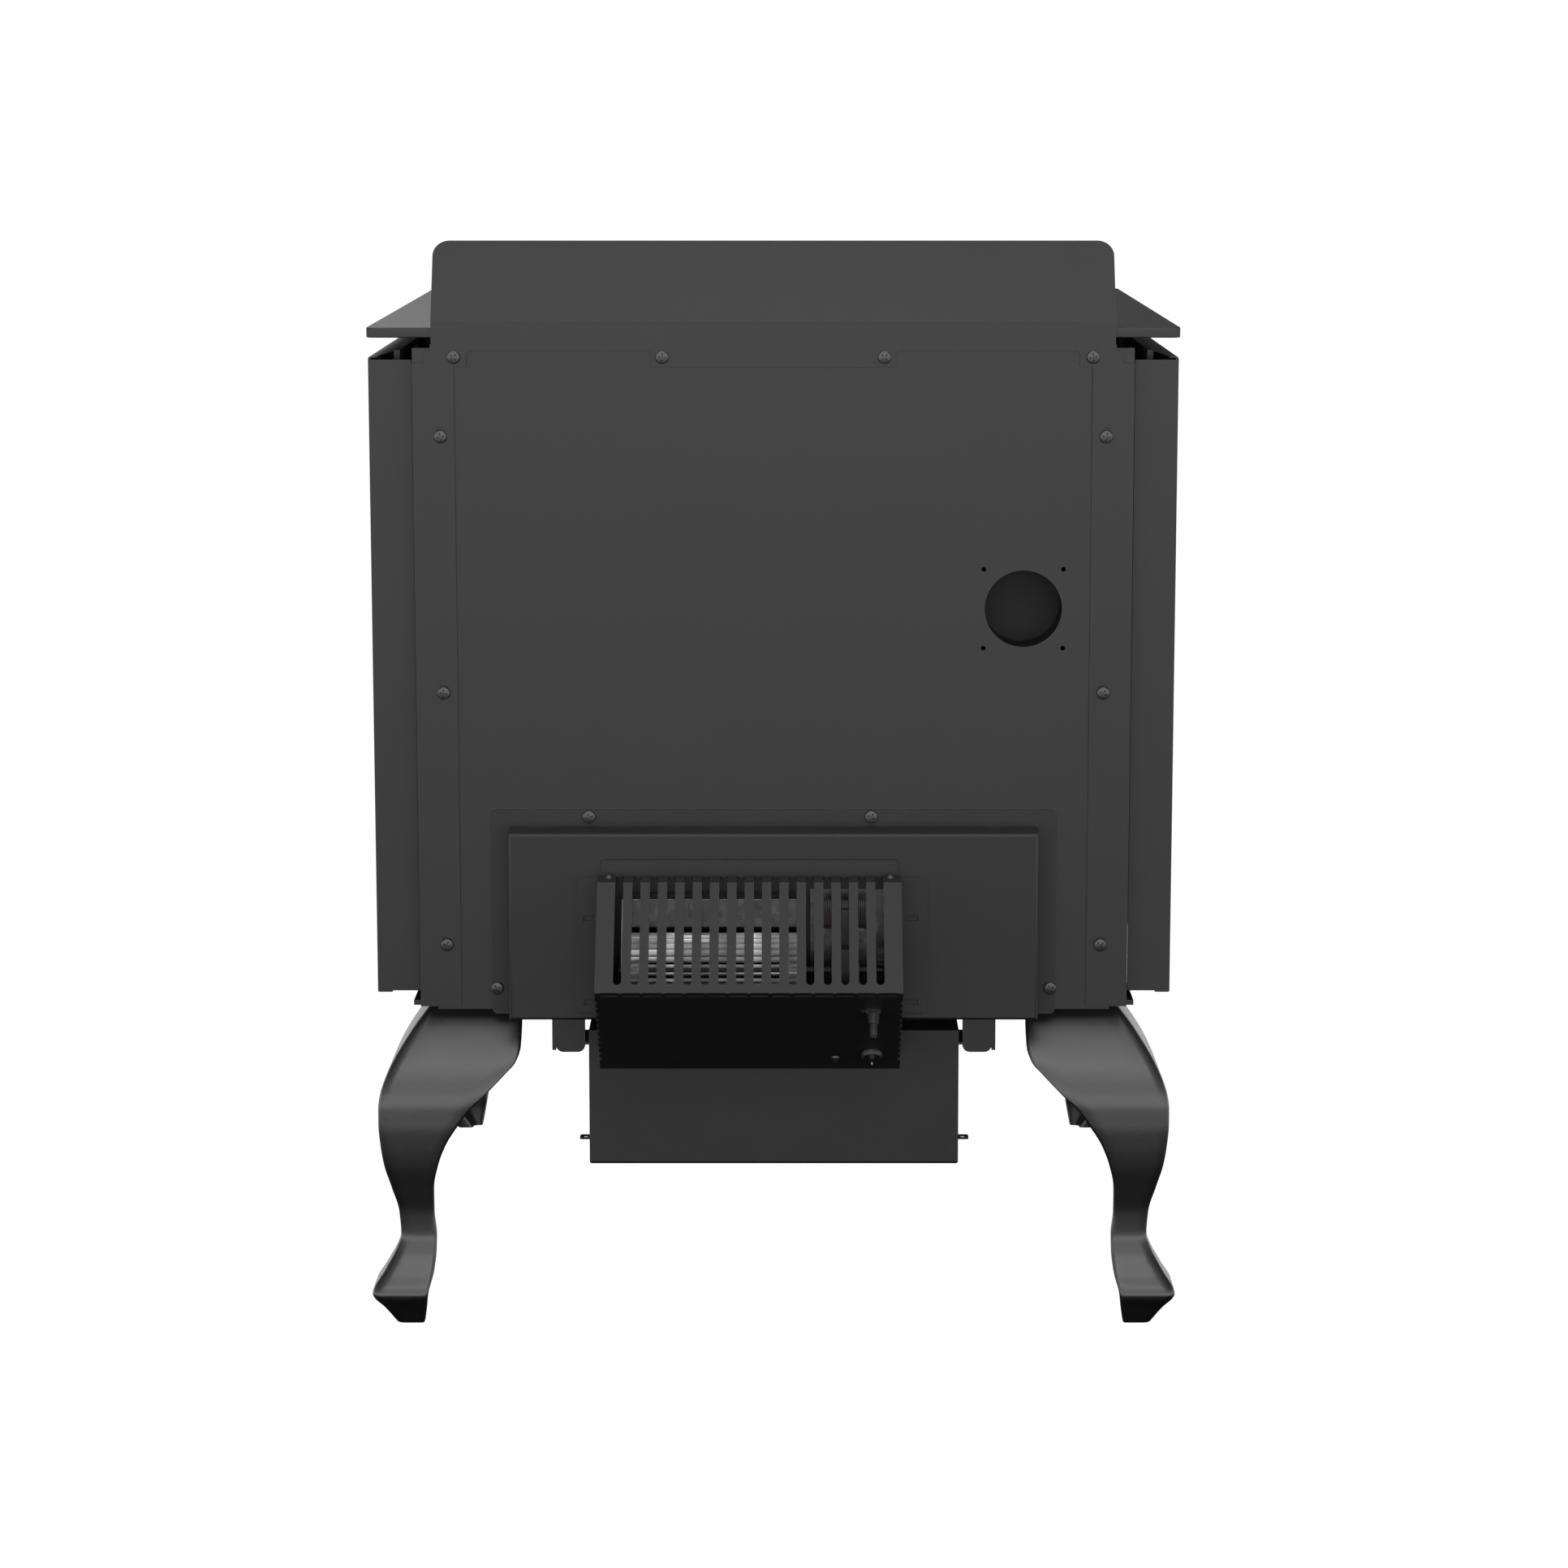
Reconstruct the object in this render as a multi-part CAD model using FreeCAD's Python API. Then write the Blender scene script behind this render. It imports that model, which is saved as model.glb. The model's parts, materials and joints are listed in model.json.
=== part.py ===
import FreeCAD, Part
import math
import os

# Free-standing wood burning stove, millimetres. Origin on the floor under the middle of its overall
# outline. +Z up, the door faces -Y, the blower is on the +Y side, +X is on the right seen from the door.

V = FreeCAD.Vector
X_AXIS = V(1, 0, 0)
Y_AXIS = V(0, 1, 0)
Z_AXIS = V(0, 0, 1)

# Driving dimensions
top_width = 636.0            # cooking plate, side to side
top_depth = 585.0            # cooking plate, front to rear
top_thick = 8.0
top_height = 801.0           # floor to the cooking surface
top_corner = 6.5             # plan radius of the plate's corners
base_height = 257.0          # floor to the underside of the base plate
base_thick = 4.0
front_reach = 72.0           # ash lip in front of the cooking plate

wall = 5.0                   # firebox plate
side_gap = 44.0              # side panel's outside to the firebox's outside
rear_gap = 32.0              # cooking plate's rear edge to the firebox's outside
plate_gap = 25.0             # firebox top to the cooking plate
face_thick = 8.0             # cast front face
face_setback = 20.0          # front face behind the plate's front edge
face_drop = 18.0             # front face below the cooking plate

sheet = 1.5                  # rear frame, rear panel and air box
panel_sheet = 1.2            # side panels and blower cage
panel_drop = 17.8            # side panel's top below the cooking plate
panel_foot = 10.7            # side panel's bottom above the base plate's underside
panel_setback = 12.0         # side panel's rear flange behind the plate's rear edge
rear_flange = 34.5           # side panel's rear and front flanges
top_flange = 17.0
flange_tip = 7.3             # top flange's width at its ends
flange_taper = 89.0          # length over which it narrows
flange_lift = 2.5            # top flange above the rear flange's edge
foot_lip = 12.0
bend = 2.5                   # outside radius of a sheet corner

frame_margin = 36.0          # rear frame's outer edge inside the side panel's outside
lip_width = 534.0            # leaning deflector
lip_height = 61.3
lip_lean = 31.0
lip_corner = 13.0
lip_rise = 5.1               # bend line above the cooking surface
side_strip = 32.6            # width of the frame's side strips
frame_foot = 2.6             # frame's bottom above the base plate's underside
strip_drop = 9.5             # top strip's shallow edge below the plate's underside
tab_drop = 12.9              # tabs below that shallow edge
mid_tab_half = 95.2
corner_tab = 10.0
notch_corner = 4.0

flue_radius = 77.0           # bore of the flue collar, for a 152 mm pipe
flue_wall = 6.0
flue_rise = 28.0             # collar above the cooking surface
flue_setback = 190.0         # flue axis in front of the plate's rear edge
flue_gap = 7.0               # collar to the hole in the cooking plate

screw_head = 5.0             # pan head screws of the rear: head radius and height
screw_rise = 3.2
screw_shank = 2.1
screw_length = 8.0
pilot = 2.2                  # radius of their holes

port_radius = 30.45
port_x = -196.8
port_rise = 323.0            # port above the base plate's underside
port_hole = 1.9
port_pitch = 62.7

box_width = 418.4            # air box
box_depth = 30.0
box_height = 150.3
box_foot = -1.5              # air box bottom above the base plate's underside
box_flange = 15.4

cage_x = 18.7                # blower's middle
cage_width = 237.5
cage_foot = -40.5            # cage's lowest edge above the base plate's underside
cage_rise = 156.1            # cage's height
ridge_rise = 80.8            # ridge above the lowest edge
shelf_reach = 25.5           # flat top of the cage
cage_flange = 12.6
slot_count = 16
slot_width = 6.3
slot_pitch = 13.53

wheel_radius = 30.0
wheel_length = 131.4
wheel_x0 = -19.4             # drive end of the wheel
wheel_gap = 1.5              # wheel's rim behind the mounting plate
cage_room = 21.0             # cage's ridge beyond the wheel's rim
wheel_rise = 46.5            # wheel's axis above the base plate's underside
blade_count = 30
scroll_gap = 5.0             # housing's cheeks beyond the wheel's ends
scroll_drop = 12.0           # housing below and above the wheel's rim
scroll_head = 26.0
scroll_nose = 21.5           # its farthest point beyond the wheel's axis
shaft_radius = 3.175

ash_width = 298.4
ash_height = 111.1
ash_drop = 23.0              # ash box top below the base plate's underside
ash_setback = 20.0           # ash box's rear behind the plate's rear edge
drawer_gap = 4.7             # drawer to the ash box wall

door_half = 232.0
door_bottom = 33.0           # above the base plate's underside
door_head = 101.0            # door's top below the cooking surface
door_thick = 22.0
door_gap = 4.0               # front face to the door's inside
window_half = 150.0
window_margin = 62.0         # door's top and bottom rails
glass_lap = 10.0             # glass beyond the window
glass_thick = 5.0
opening_half = 185.0         # firebox mouth
opening_margin = 32.0        # mouth inside the door's height at each end
gasket = 10.0                # rope gasket's thickness
gasket_inset = 34.0          # its middle inside the door's edge
hinge_offset = 14.0          # hinge axis beyond the door's edge
pin_radius = 4.0
handle_inset = 20.0          # handle shaft inside the door's free edge
handle_shaft = 6.0
cam_reach = 36.0
handle_turn = 60.0           # degrees from free to latched

brick = 32.0
brick_wide = 114.0
brick_long = 229.0
joint_line = 0.6             # gap between bricks
plug_length = 120.0
plug_width = 80.0
tube_radius = 12.5
tube_count = 4
tube_pitch = 90.0
tube_margin = 6.0            # rail above and below the tubes
brick_room = 10.0            # bricks' tops to the rails
brick_front = 20.0           # floor bricks behind the front face
baffle_thick = 25.0
blanket_thick = 12.0

collar_flange = 22.0         # flue collar's flange beyond its outside
collar_bolt = 4.0
inlet_reach = 60.0           # air inlet behind the front face
inlet_half = 30.0
inlet_wide = 22.0
hook_width = 34.0
hook_tab = 5.0
aperture_half = 180.0        # opening in the rear panel for the blower's air
aperture_low = 22.0
aperture_high = 135.0
plate_left = 154.7           # blower mounting plate's edges, from the stove's middle
plate_right = -121.9
slit_pitch = 16.5            # bend relief slits along the cage's ridge
slit_length = 14.0
slit_width = 1.6
fold_radius = 1.2            # outside radius of the cage's folds
edge_slit_pitch = 8.6        # slits along the sides of the cage's underside
edge_slit_length = 5.0
edge_slit_width = 1.0
control_x = -77.5            # cord and speed knob
control_s = 90.5             # down the cage's underside from its ridge
relief_s = 26.4
cord_radius = 2.95
stub_length = 23.4           # supply cord outside the cage
motor_x0 = -66.0
motor_stack = 20.0
rotor_radius = 14.0
core_half = 21.0
core_loop = 26.0
core_rise = 28.0
leg_datum_x = 318.0          # plate's half width and half depth that the leg profile is drawn for
leg_datum_y = 292.5
leg_bolt = 5.0
leg_bolt_inset = 34.0        # bolt inside the leg's top corner
leg_pad = 8.0
leg_skin = 8.0
crest_radius = 9.0
ear_hole = 3.2
ear_setback = 79.0           # ears in front of the ash box's rear
drawer_top = 10.0            # drawer's rim below the ash box's top
drawer_travel = 400.0
channel_wide = 20.0
channel_drop = 150.0         # side air channel's top below the firebox's top
knuckle = 30.0
lug = 18.0
gasket_sheet = 1.6
grip_length = 105.0
damper_half = 75.0
damper_wide = 44.0
damper_thick = 3.0
lever_travel = 28.0
lever_drop = 5.0
knob_setback = 30.0          # control knob's root behind the ash lip's edge

clearance = 0.3              # between pieces that move past each other
running = 0.05               # radial clearance of a shaft in its hole

# Leg: height, outer crest and wing end, both measured from the body's middle lines
leg_profile = [
    (0.0, 304.5, 282.0),
    (28.0, 322.5, 277.5),
    (36.0, 317.5, 275.0),
    (47.0, 312.5, 273.0),
    (60.0, 304.5, 272.0),
    (72.0, 300.8, 272.0),
    (90.0, 302.0, 273.5),
    (112.0, 307.5, 273.0),
    (132.0, 312.7, 268.8),
    (150.0, 315.3, 262.0),
    (166.0, 316.4, 252.0),
    (180.0, 316.5, 241.5),
    (190.0, 315.4, 231.0),
    (199.0, 312.5, 222.0),
    (207.0, 308.8, 214.0),
    (215.0, 304.0, 206.5),
    (226.0, 297.0, 202.5),
    (240.0, 287.5, 202.0),
    (249.0, 280.5, 202.0),
    (257.0, 275.0, 202.0),
]

# Places worked out from the driving dimensions
cage_reach = 3 * sheet + box_depth + wheel_gap + 2 * wheel_radius + cage_room
body_mid = (front_reach - cage_reach) / 2
plate_rear = body_mid + top_depth / 2
plate_front = body_mid - top_depth / 2
plate_under = top_height - top_thick
base_top = base_height + base_thick
side_outer = top_width / 2
shell_half = side_outer - side_gap
shell_rear = plate_rear - rear_gap
face_outer = plate_front + face_setback
face_inner = face_outer + face_thick
shell_top = plate_under - plate_gap
face_top = plate_under - face_drop
frame_half = side_outer - frame_margin
strip_half = frame_half - side_strip
panel_half = frame_half - 14.0
rear_skin = plate_rear + sheet
frame_skin = rear_skin + sheet
panel_top = plate_under - panel_drop
panel_base = base_height + panel_foot
flue_y = plate_rear - flue_setback
box_skin = frame_skin + box_depth
mount_skin = box_skin + sheet
box_base = base_height + box_foot
box_top = box_base + box_height
cage_base = base_height + cage_foot
cage_top = cage_base + cage_rise
ridge_y = plate_rear + cage_reach
ridge_z = cage_base + ridge_rise
shelf_y = mount_skin + shelf_reach
wheel_y = mount_skin + wheel_gap + wheel_radius
wheel_z = base_height + wheel_rise
ash_top = base_height - ash_drop
ash_base = ash_top - ash_height
ash_rear = plate_rear - ash_setback
ash_half = ash_width / 2
door_inner = face_outer - door_gap
door_outer = door_inner - door_thick
door_low = base_height + door_bottom
door_top = top_height - door_head
door_mid = (door_low + door_top) / 2
opening_low = door_low + opening_margin
opening_top = door_top - opening_margin
hinge_x = door_half + hinge_offset
hinge_y = (door_inner + door_outer) / 2
handle_x = -(door_half - handle_inset)
handle_z = door_mid
inner_half = shell_half - wall
inner_rear = shell_rear - wall
floor_top = base_top + wall
inlet_y = face_inner + inlet_reach
tube_z = shell_top - wall - channel_drop - tube_radius - tube_margin
brick_tall = min(brick_long, tube_z - tube_radius - tube_margin - floor_top - brick_room)
leg_shift_x = side_outer - leg_datum_x
leg_shift_y = top_depth / 2 - leg_datum_y
lean = math.atan2(lip_lean, lip_height)


def save(name, shape):
    shape.exportStep("parts/" + name + ".step")
    print(name, round(shape.Volume / 1000, 1), "cm3", shape.isValid())


def box(x0, x1, y0, y1, z0, z1):
    return Part.makeBox(x1 - x0, y1 - y0, z1 - z0, V(x0, y0, z0))


def rod(radius, start, direction, length):
    return Part.makeCylinder(radius, length, start, direction)


def fuse(shapes):
    whole = shapes[0].multiFuse(shapes[1:])
    return whole.removeSplitter()


def group(shapes):
    return Part.makeCompound(shapes)


def mirror_x(shape):
    return shape.mirror(V(0, 0, 0), X_AXIS)


def mirror_y(shape, y):
    return shape.mirror(V(0, y, 0), Y_AXIS)


def prism(points, direction):
    wire = Part.makePolygon(points + [points[0]])
    return Part.Face(wire).extrude(direction)


def side_profile(points, x0, x1):
    # points are (y, z)
    return prism([V(x0, y, z) for y, z in points], V(x1 - x0, 0, 0))


def rounded_plate(x0, x1, y0, y1, z0, z1, radius):
    plate = box(x0, x1, y0, y1, z0, z1)
    uprights = [e for e in plate.Edges if abs(e.tangentAt(e.FirstParameter).z) > 0.99]
    return plate.makeFillet(radius, uprights)


def rounded_panel(x0, x1, z0, z1, y0, y1, radius):
    # upright plate with rounded corners, thin along Y
    panel = box(x0, x1, y0, y1, z0, z1)
    runs = [e for e in panel.Edges if abs(e.tangentAt(e.FirstParameter).y) > 0.99]
    return panel.makeFillet(radius, runs)


def ring_panel(outer, inner, y0, y1, radius):
    # (x half, z low, z high) of the outside and of the hole
    plate = rounded_panel(-outer[0], outer[0], outer[1], outer[2], y0, y1, radius)
    hole = rounded_panel(-inner[0], inner[0], inner[1], inner[2], y0 - 1, y1 + 1, radius * 0.7)
    return plate.cut(hole)


def obround(width, length, depth):
    # slot along +Y from the origin, its centre line on the X = 0 plane, cut through -Z and +Z
    half = width / 2
    body = box(-half, half, half, length - half, -depth, depth)
    ends = [rod(half, V(0, y, -depth), Z_AXIS, 2 * depth) for y in (half, length - half)]
    return fuse([body] + ends)


def pan_screw(head_radius, head_height, shank_radius, shank_length):
    # head up from the XY plane with a cross recess, shank down
    dome_radius = (head_radius ** 2 + head_height ** 2) / (2 * head_height)
    dome = Part.makeSphere(dome_radius, V(0, 0, head_height - dome_radius))
    head = rod(head_radius, V(0, 0, 0), Z_AXIS, head_height).common(dome)
    recess = head_height * 0.5
    arm = head_radius * 0.5
    slit = head_radius * 0.11
    cross = fuse([box(-arm, arm, -slit, slit, head_height - recess, head_height + 1),
                  box(-slit, slit, -arm, arm, head_height - recess, head_height + 1)])
    shank = rod(shank_radius, V(0, 0, -shank_length), Z_AXIS, shank_length)
    return fuse([head.cut(cross), shank])


def facing_rear(shape, x, y, z):
    # turns +Z to +Y and moves the origin to the given point
    turned = shape.copy()
    turned.rotate(V(0, 0, 0), X_AXIS, -90)
    turned.translate(V(x, y, z))
    return turned


# ---- body ----

def base_plate():
    plate = box(-side_outer + 29, side_outer - 29, face_inner, plate_rear - panel_setback, base_height, base_top)
    plate = plate.cut(ash_hole(base_height - 1, base_top + 1))
    plate = plate.cut(air_inlet(base_height - 1, base_top + 1))
    for bolt in leg_bolt_places():
        plate = plate.cut(rod(leg_bolt + clearance, V(bolt.x, bolt.y, base_height - 1), Z_AXIS, base_thick + 2))
    return plate


def ash_hole(z0, z1):
    half_x = plug_length / 2 - 8
    half_y = plug_width / 2 - 8
    return box(-half_x, half_x, body_mid - half_y, body_mid + half_y, z0, z1)


def air_inlet(z0, z1):
    return box(-inlet_half, inlet_half, inlet_y - inlet_wide / 2, inlet_y + inlet_wide / 2, z0, z1)


def firebox():
    outer = box(-shell_half, shell_half, face_inner, shell_rear, base_top, shell_top)
    inner = box(-inner_half, inner_half, face_inner - 1, inner_rear, floor_top, shell_top - wall)
    shell = outer.cut(inner)
    shell = shell.cut(rod(flue_radius, V(0, flue_y, shell_top - wall - 1), Z_AXIS, wall + 2))
    shell = shell.cut(ash_hole(base_top - 1, floor_top + 1))
    return shell.cut(air_inlet(base_top - 1, floor_top + 1))


def front_face():
    plate = rounded_panel(-side_outer + 1, side_outer - 1, base_height, face_top, face_outer, face_inner, 4)
    mouth = rounded_panel(-opening_half, opening_half, opening_low, opening_top,
                          face_outer - 1, face_inner + 1, 12)
    return plate.cut(mouth)


def top_plate():
    plate = rounded_plate(-side_outer, side_outer, plate_front, plate_rear, plate_under, top_height, top_corner)
    hole = rod(flue_radius + flue_wall + flue_gap, V(0, flue_y, plate_under - 1), Z_AXIS, top_thick + 2)
    return plate.cut(hole)


def plate_spacers():
    rows = [face_inner + 40, body_mid, shell_rear - 30]
    posts = []
    for x in (-shell_half + 45, shell_half - 45):
        for y in rows:
            posts.append(rod(11, V(x, y, shell_top), Z_AXIS, plate_gap))
    return group(posts)


def flue_collar():
    outer = flue_radius + flue_wall
    start = V(0, flue_y, shell_top)
    body = rod(outer, start, Z_AXIS, top_height + flue_rise - shell_top)
    flange = rod(outer + collar_flange, start, Z_AXIS, 7)
    bore = rod(flue_radius, start - V(0, 0, 1), Z_AXIS, 200)
    collar = fuse([body, flange]).cut(bore)
    for place in collar_bolt_places():
        collar = collar.cut(rod(collar_bolt, place - V(0, 0, 1), Z_AXIS, 10))
    return collar


def collar_bolt_places():
    reach = flue_radius + flue_wall + collar_flange / 2
    turns = [math.radians(a) for a in (30, 150, 270)]
    return [V(reach * math.cos(a), flue_y + reach * math.sin(a), shell_top) for a in turns]


def flue_bolts():
    bolts = []
    for place in collar_bolt_places():
        head_start = place + V(0, 0, 7)
        shank = rod(collar_bolt, place, Z_AXIS, 7)
        bolts.append(fuse([shank, hex_head(6.5, 5.3, head_start)]))
    return group(bolts)


def hex_head(half_flat, height, start):
    reach = half_flat / math.cos(math.pi / 6)
    points = []
    for k in range(6):
        a = math.radians(60 * k)
        points.append(start + V(reach * math.cos(a), reach * math.sin(a), 0))
    return prism(points, V(0, 0, height))


def ash_lip():
    reach = plate_front - front_reach
    half = door_half + 8
    lip = rounded_plate(-half, half, reach, face_outer + 30, base_top + 1, base_top + 7, 18)
    rim = rounded_plate(-half, half, reach, reach + 40, base_top - 11, base_top + 7, 18)
    rim = rim.cut(rounded_plate(-half + 6, half - 6, reach + 6, reach + 60, base_top - 12, base_top + 1, 12))
    whole = fuse([lip, rim])
    return whole.cut(box(-half - 1, half + 1, face_outer, face_outer + 60, 0, base_top + 20))


# ---- side panels and rear shield ----

def side_panel():
    # right-hand panel, +X
    front = face_inner
    rear = plate_rear - panel_setback
    inner_x = side_outer - rear_flange
    crown = panel_top + flange_lift
    outer = box(inner_x, side_outer, front, rear, panel_base, crown)
    corners = [e for e in outer.Edges if e.CenterOfMass.x > side_outer - 0.1
               and (abs(e.CenterOfMass.y - rear) < 0.1 or abs(e.CenterOfMass.z - crown) < 0.1)]
    outer = outer.makeFillet(bend, corners)
    hollow = box(inner_x - 1, side_outer - panel_sheet, front + panel_sheet, rear - panel_sheet,
                 panel_base + panel_sheet, crown - panel_sheet)
    panel = outer.cut(hollow)
    panel = panel.cut(top_flange_waste(inner_x, front, rear, crown))
    panel = panel.cut(box(inner_x - 1, side_outer - bend, rear - 2 * panel_sheet, rear + 1,
                          panel_top, crown - panel_sheet))
    return panel.cut(box(inner_x - 1, side_outer - foot_lip, front + panel_sheet, rear + 1,
                         panel_base - 1, panel_base + panel_sheet))


def top_flange_waste(inner_x, front, rear, crown):
    # what is cut away so that the top flange narrows towards both ends
    low = crown - panel_sheet
    wide = side_outer - top_flange
    tip = side_outer - flange_tip
    outline = [V(inner_x - 1, front + panel_sheet, low), V(tip, front + panel_sheet, low),
               V(wide, front + flange_taper, low), V(wide, rear - flange_taper, low),
               V(tip, rear + 1, low), V(inner_x - 1, rear + 1, low)]
    return prism(outline, V(0, 0, panel_sheet + 1))


def panel_hooks():
    hooks = []
    for y in (shell_rear - 12 - hook_width, body_mid - hook_width / 2, face_inner + 30):
        arm = box(shell_half, side_outer - panel_sheet, y, y + hook_width, panel_top - 25, panel_top - 22)
        tab = box(side_outer - top_flange - hook_tab - clearance, side_outer - top_flange - clearance,
                  y, y + hook_width, panel_top - 22, panel_top + 5.6)
        hook = fuse([arm, tab])
        hooks.append(hook)
        hooks.append(mirror_x(hook))
    return group(hooks)


def frame_screw_places():
    side_x = strip_half + 10.9
    rises = [53.0, 256.2, 459.0]
    places = [V(s * side_x, 0, base_height + rise) for s in (-1, 1) for rise in rises]
    top_z = plate_under - strip_drop - 5.3
    places += [V(x, 0, top_z) for x in (-strip_half, -mid_tab_half + 8.5, mid_tab_half - 8.5, strip_half)]
    return places


def box_screw_places():
    low = [V(s * (box_width / 2 + 11.5), 0, base_height + 17.6) for s in (-1, 1)]
    high = [V(x, 0, box_top + 8) for x in (146.4, -77.5)]
    return low + high


def rear_frame():
    low = base_height + frame_foot
    bend_z = top_height + lip_rise
    shallow = plate_under - strip_drop
    deep = shallow - tab_drop
    step = shallow - 10.0
    lip_half = lip_width / 2
    sheet_body = fuse([
        box(-frame_half, frame_half, rear_skin, frame_skin, low, step),
        box(-frame_half + 10, frame_half - 10, rear_skin, frame_skin, step, shallow),
        box(-lip_half, lip_half, rear_skin, frame_skin, shallow, bend_z)])
    hole = fuse([
        box(-strip_half, strip_half, rear_skin - 1, frame_skin + 1, low - 1, deep),
        notch(-strip_half + corner_tab, -mid_tab_half, deep, shallow),
        notch(mid_tab_half, strip_half - corner_tab, deep, shallow)])
    frame = sheet_body.cut(hole)
    for place in frame_screw_places():
        if place.z < step:
            slot = obround(6.6, 11, 10)
            frame = frame.cut(facing_rear_slot(slot, place.x, place.z - 3.3))
        else:
            frame = frame.cut(rod(pilot, V(place.x, rear_skin - 1, place.z), Y_AXIS, sheet + 2))
    lip = leaning_lip(lip_half, bend_z)
    return fuse([frame, lip])


def facing_rear_slot(slot, x, z):
    # stands a slot that runs along +Y up along +Z, cutting through the frame
    turned = slot.copy()
    turned.rotate(V(0, 0, 0), X_AXIS, 90)
    turned.translate(V(x, frame_skin, z))
    return turned


def notch(x0, x1, deep, shallow):
    cut = rounded_panel(x0, x1, deep - 10, shallow, rear_skin - 1, frame_skin + 1, notch_corner)
    return cut


def leaning_lip(half, bend_z):
    # sheet that leans towards the door, drawn upright and then tipped about the bend line
    length = math.hypot(lip_height, lip_lean)
    blank = box(-half, half, rear_skin, frame_skin, bend_z - 0.01, bend_z + length)
    corners = [e for e in blank.Edges if abs(e.tangentAt(e.FirstParameter).y) > 0.99
               and e.CenterOfMass.z > bend_z + 1]
    blank = blank.makeFillet(lip_corner, corners)
    blank.rotate(V(0, frame_skin, bend_z), X_AXIS, math.degrees(lean))
    knee = side_profile([(rear_skin, bend_z), (frame_skin, bend_z),
                         (frame_skin - sheet * math.cos(lean), bend_z - sheet * math.sin(lean)),
                         (rear_skin, bend_z - sheet)], -half, half)
    return fuse([blank, knee])


def rear_panel():
    panel = box(-panel_half, panel_half, plate_rear, rear_skin, base_height, plate_under - 5)
    panel = panel.cut(rod(port_radius, V(port_x, plate_rear - 1, base_height + port_rise), Y_AXIS, sheet + 2))
    for sx in (-0.5, 0.5):
        for sz in (-0.5, 0.5):
            place = V(port_x + sx * port_pitch, plate_rear - 1, base_height + port_rise + sz * port_pitch)
            panel = panel.cut(rod(port_hole, place, Y_AXIS, sheet + 2))
    for place in frame_screw_places() + box_screw_places():
        panel = panel.cut(rod(pilot, V(place.x, plate_rear - 1, place.z), Y_AXIS, sheet + 2))
    return panel.cut(box(-aperture_half, aperture_half, plate_rear - 1, rear_skin + 1,
                         base_height + aperture_low, base_height + aperture_high))


def rear_screws():
    screw = pan_screw(screw_head, screw_rise, screw_shank, screw_length)
    return group([facing_rear(screw, place.x, frame_skin, place.z)
                  for place in frame_screw_places() + box_screw_places()])


def rear_channel():
    # +X side: folded channel that carries the frame off the firebox
    inner_x = frame_half - 27
    thick = 2.0
    top = plate_under - 8
    web = box(frame_half - thick, frame_half, shell_rear + clearance, plate_rear, base_top, top)
    skin = box(inner_x, frame_half, plate_rear - thick, plate_rear, base_top, top)
    foot = box(inner_x, frame_half, shell_rear, shell_rear + thick, base_top, shell_top)
    channel = fuse([web, skin, foot])
    for place in frame_screw_places():
        if place.x > inner_x:
            channel = channel.cut(rod(pilot, V(place.x, shell_rear + 5, place.z), Y_AXIS, rear_gap))
    return channel


def port_duct():
    z = base_height + port_rise
    tube = rod(port_radius + sheet, V(port_x, shell_rear, z), Y_AXIS, plate_rear - shell_rear)
    tube = tube.cut(rod(port_radius, V(port_x, shell_rear - 1, z), Y_AXIS, rear_gap + 2))
    return tube


# ---- air box, cage and blower ----

def air_box():
    half = box_width / 2
    outer = box(-half, half, frame_skin - sheet, box_skin, box_base, box_top)
    corners = [e for e in outer.Edges if abs(e.CenterOfMass.y - box_skin) < 0.1]
    outer = outer.makeFillet(bend, corners)
    inner = box(-half + sheet, half - sheet, rear_skin - 1, box_skin - sheet, box_base + sheet, box_top - sheet)
    flange = rounded_panel(-half - box_flange, half + box_flange, box_base - 2, box_top + box_flange - 2,
                           rear_skin, frame_skin, notch_corner)
    whole = fuse([outer, flange]).cut(inner)
    for place in box_screw_places():
        whole = whole.cut(rod(pilot, V(place.x, rear_skin - 1, place.z), Y_AXIS, sheet + 2))
    return whole.cut(discharge(box_skin - sheet - 1, box_skin + 1))


def discharge(y0, y1):
    # rectangular outlet of the blower through the air box and its mounting plate
    x0 = wheel_x0 + 2
    return box(x0, x0 + wheel_length - 4, y0, y1, wheel_z - 28, wheel_z + 26)


def mount_plate():
    top = cage_top - 2
    plate = rounded_panel(plate_right, plate_left, box_base + 6, top, box_skin, mount_skin, 3)
    for x in (plate_left - 9.5, plate_right + 12.5):
        for z in (top - 32.5, top - 100.3):
            plate = plate.cut(box(x - 4.5, x + 4.5, box_skin - 1, mount_skin + 1, z - 2, z + 2))
    return plate.cut(discharge(box_skin - 1, mount_skin + 1))


def cage_outline():
    # (y, z) from the flange's foot round to the lowest edge
    return [(mount_skin, cage_top), (shelf_y, cage_top), (ridge_y, ridge_z), (mount_skin, cage_base)]


def inset_outline(points, t):
    # the same closed outline moved inwards by t on its three folded sides
    def offset(a, b):
        dy = b[0] - a[0]
        dz = b[1] - a[1]
        run = math.hypot(dy, dz)
        shift = (dz / run * t, -dy / run * t)
        return (a[0] + shift[0], a[1] + shift[1]), (b[0] + shift[0], b[1] + shift[1])

    def meet(p, q):
        (ay, az), (by, bz) = p
        (cy, cz), (dy, dz) = q
        den = (by - ay) * (dz - cz) - (bz - az) * (dy - cy)
        k = ((cy - ay) * (dz - cz) - (cz - az) * (dy - cy)) / den
        return ay + k * (by - ay), az + k * (bz - az)

    top = offset(points[0], points[1])
    slant = offset(points[1], points[2])
    under = offset(points[2], points[3])
    open_side = ((points[0][0] - 1, 0), (points[0][0] - 1, 100))
    return [meet(open_side, top), meet(top, slant), meet(slant, under), meet(under, open_side)]


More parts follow.
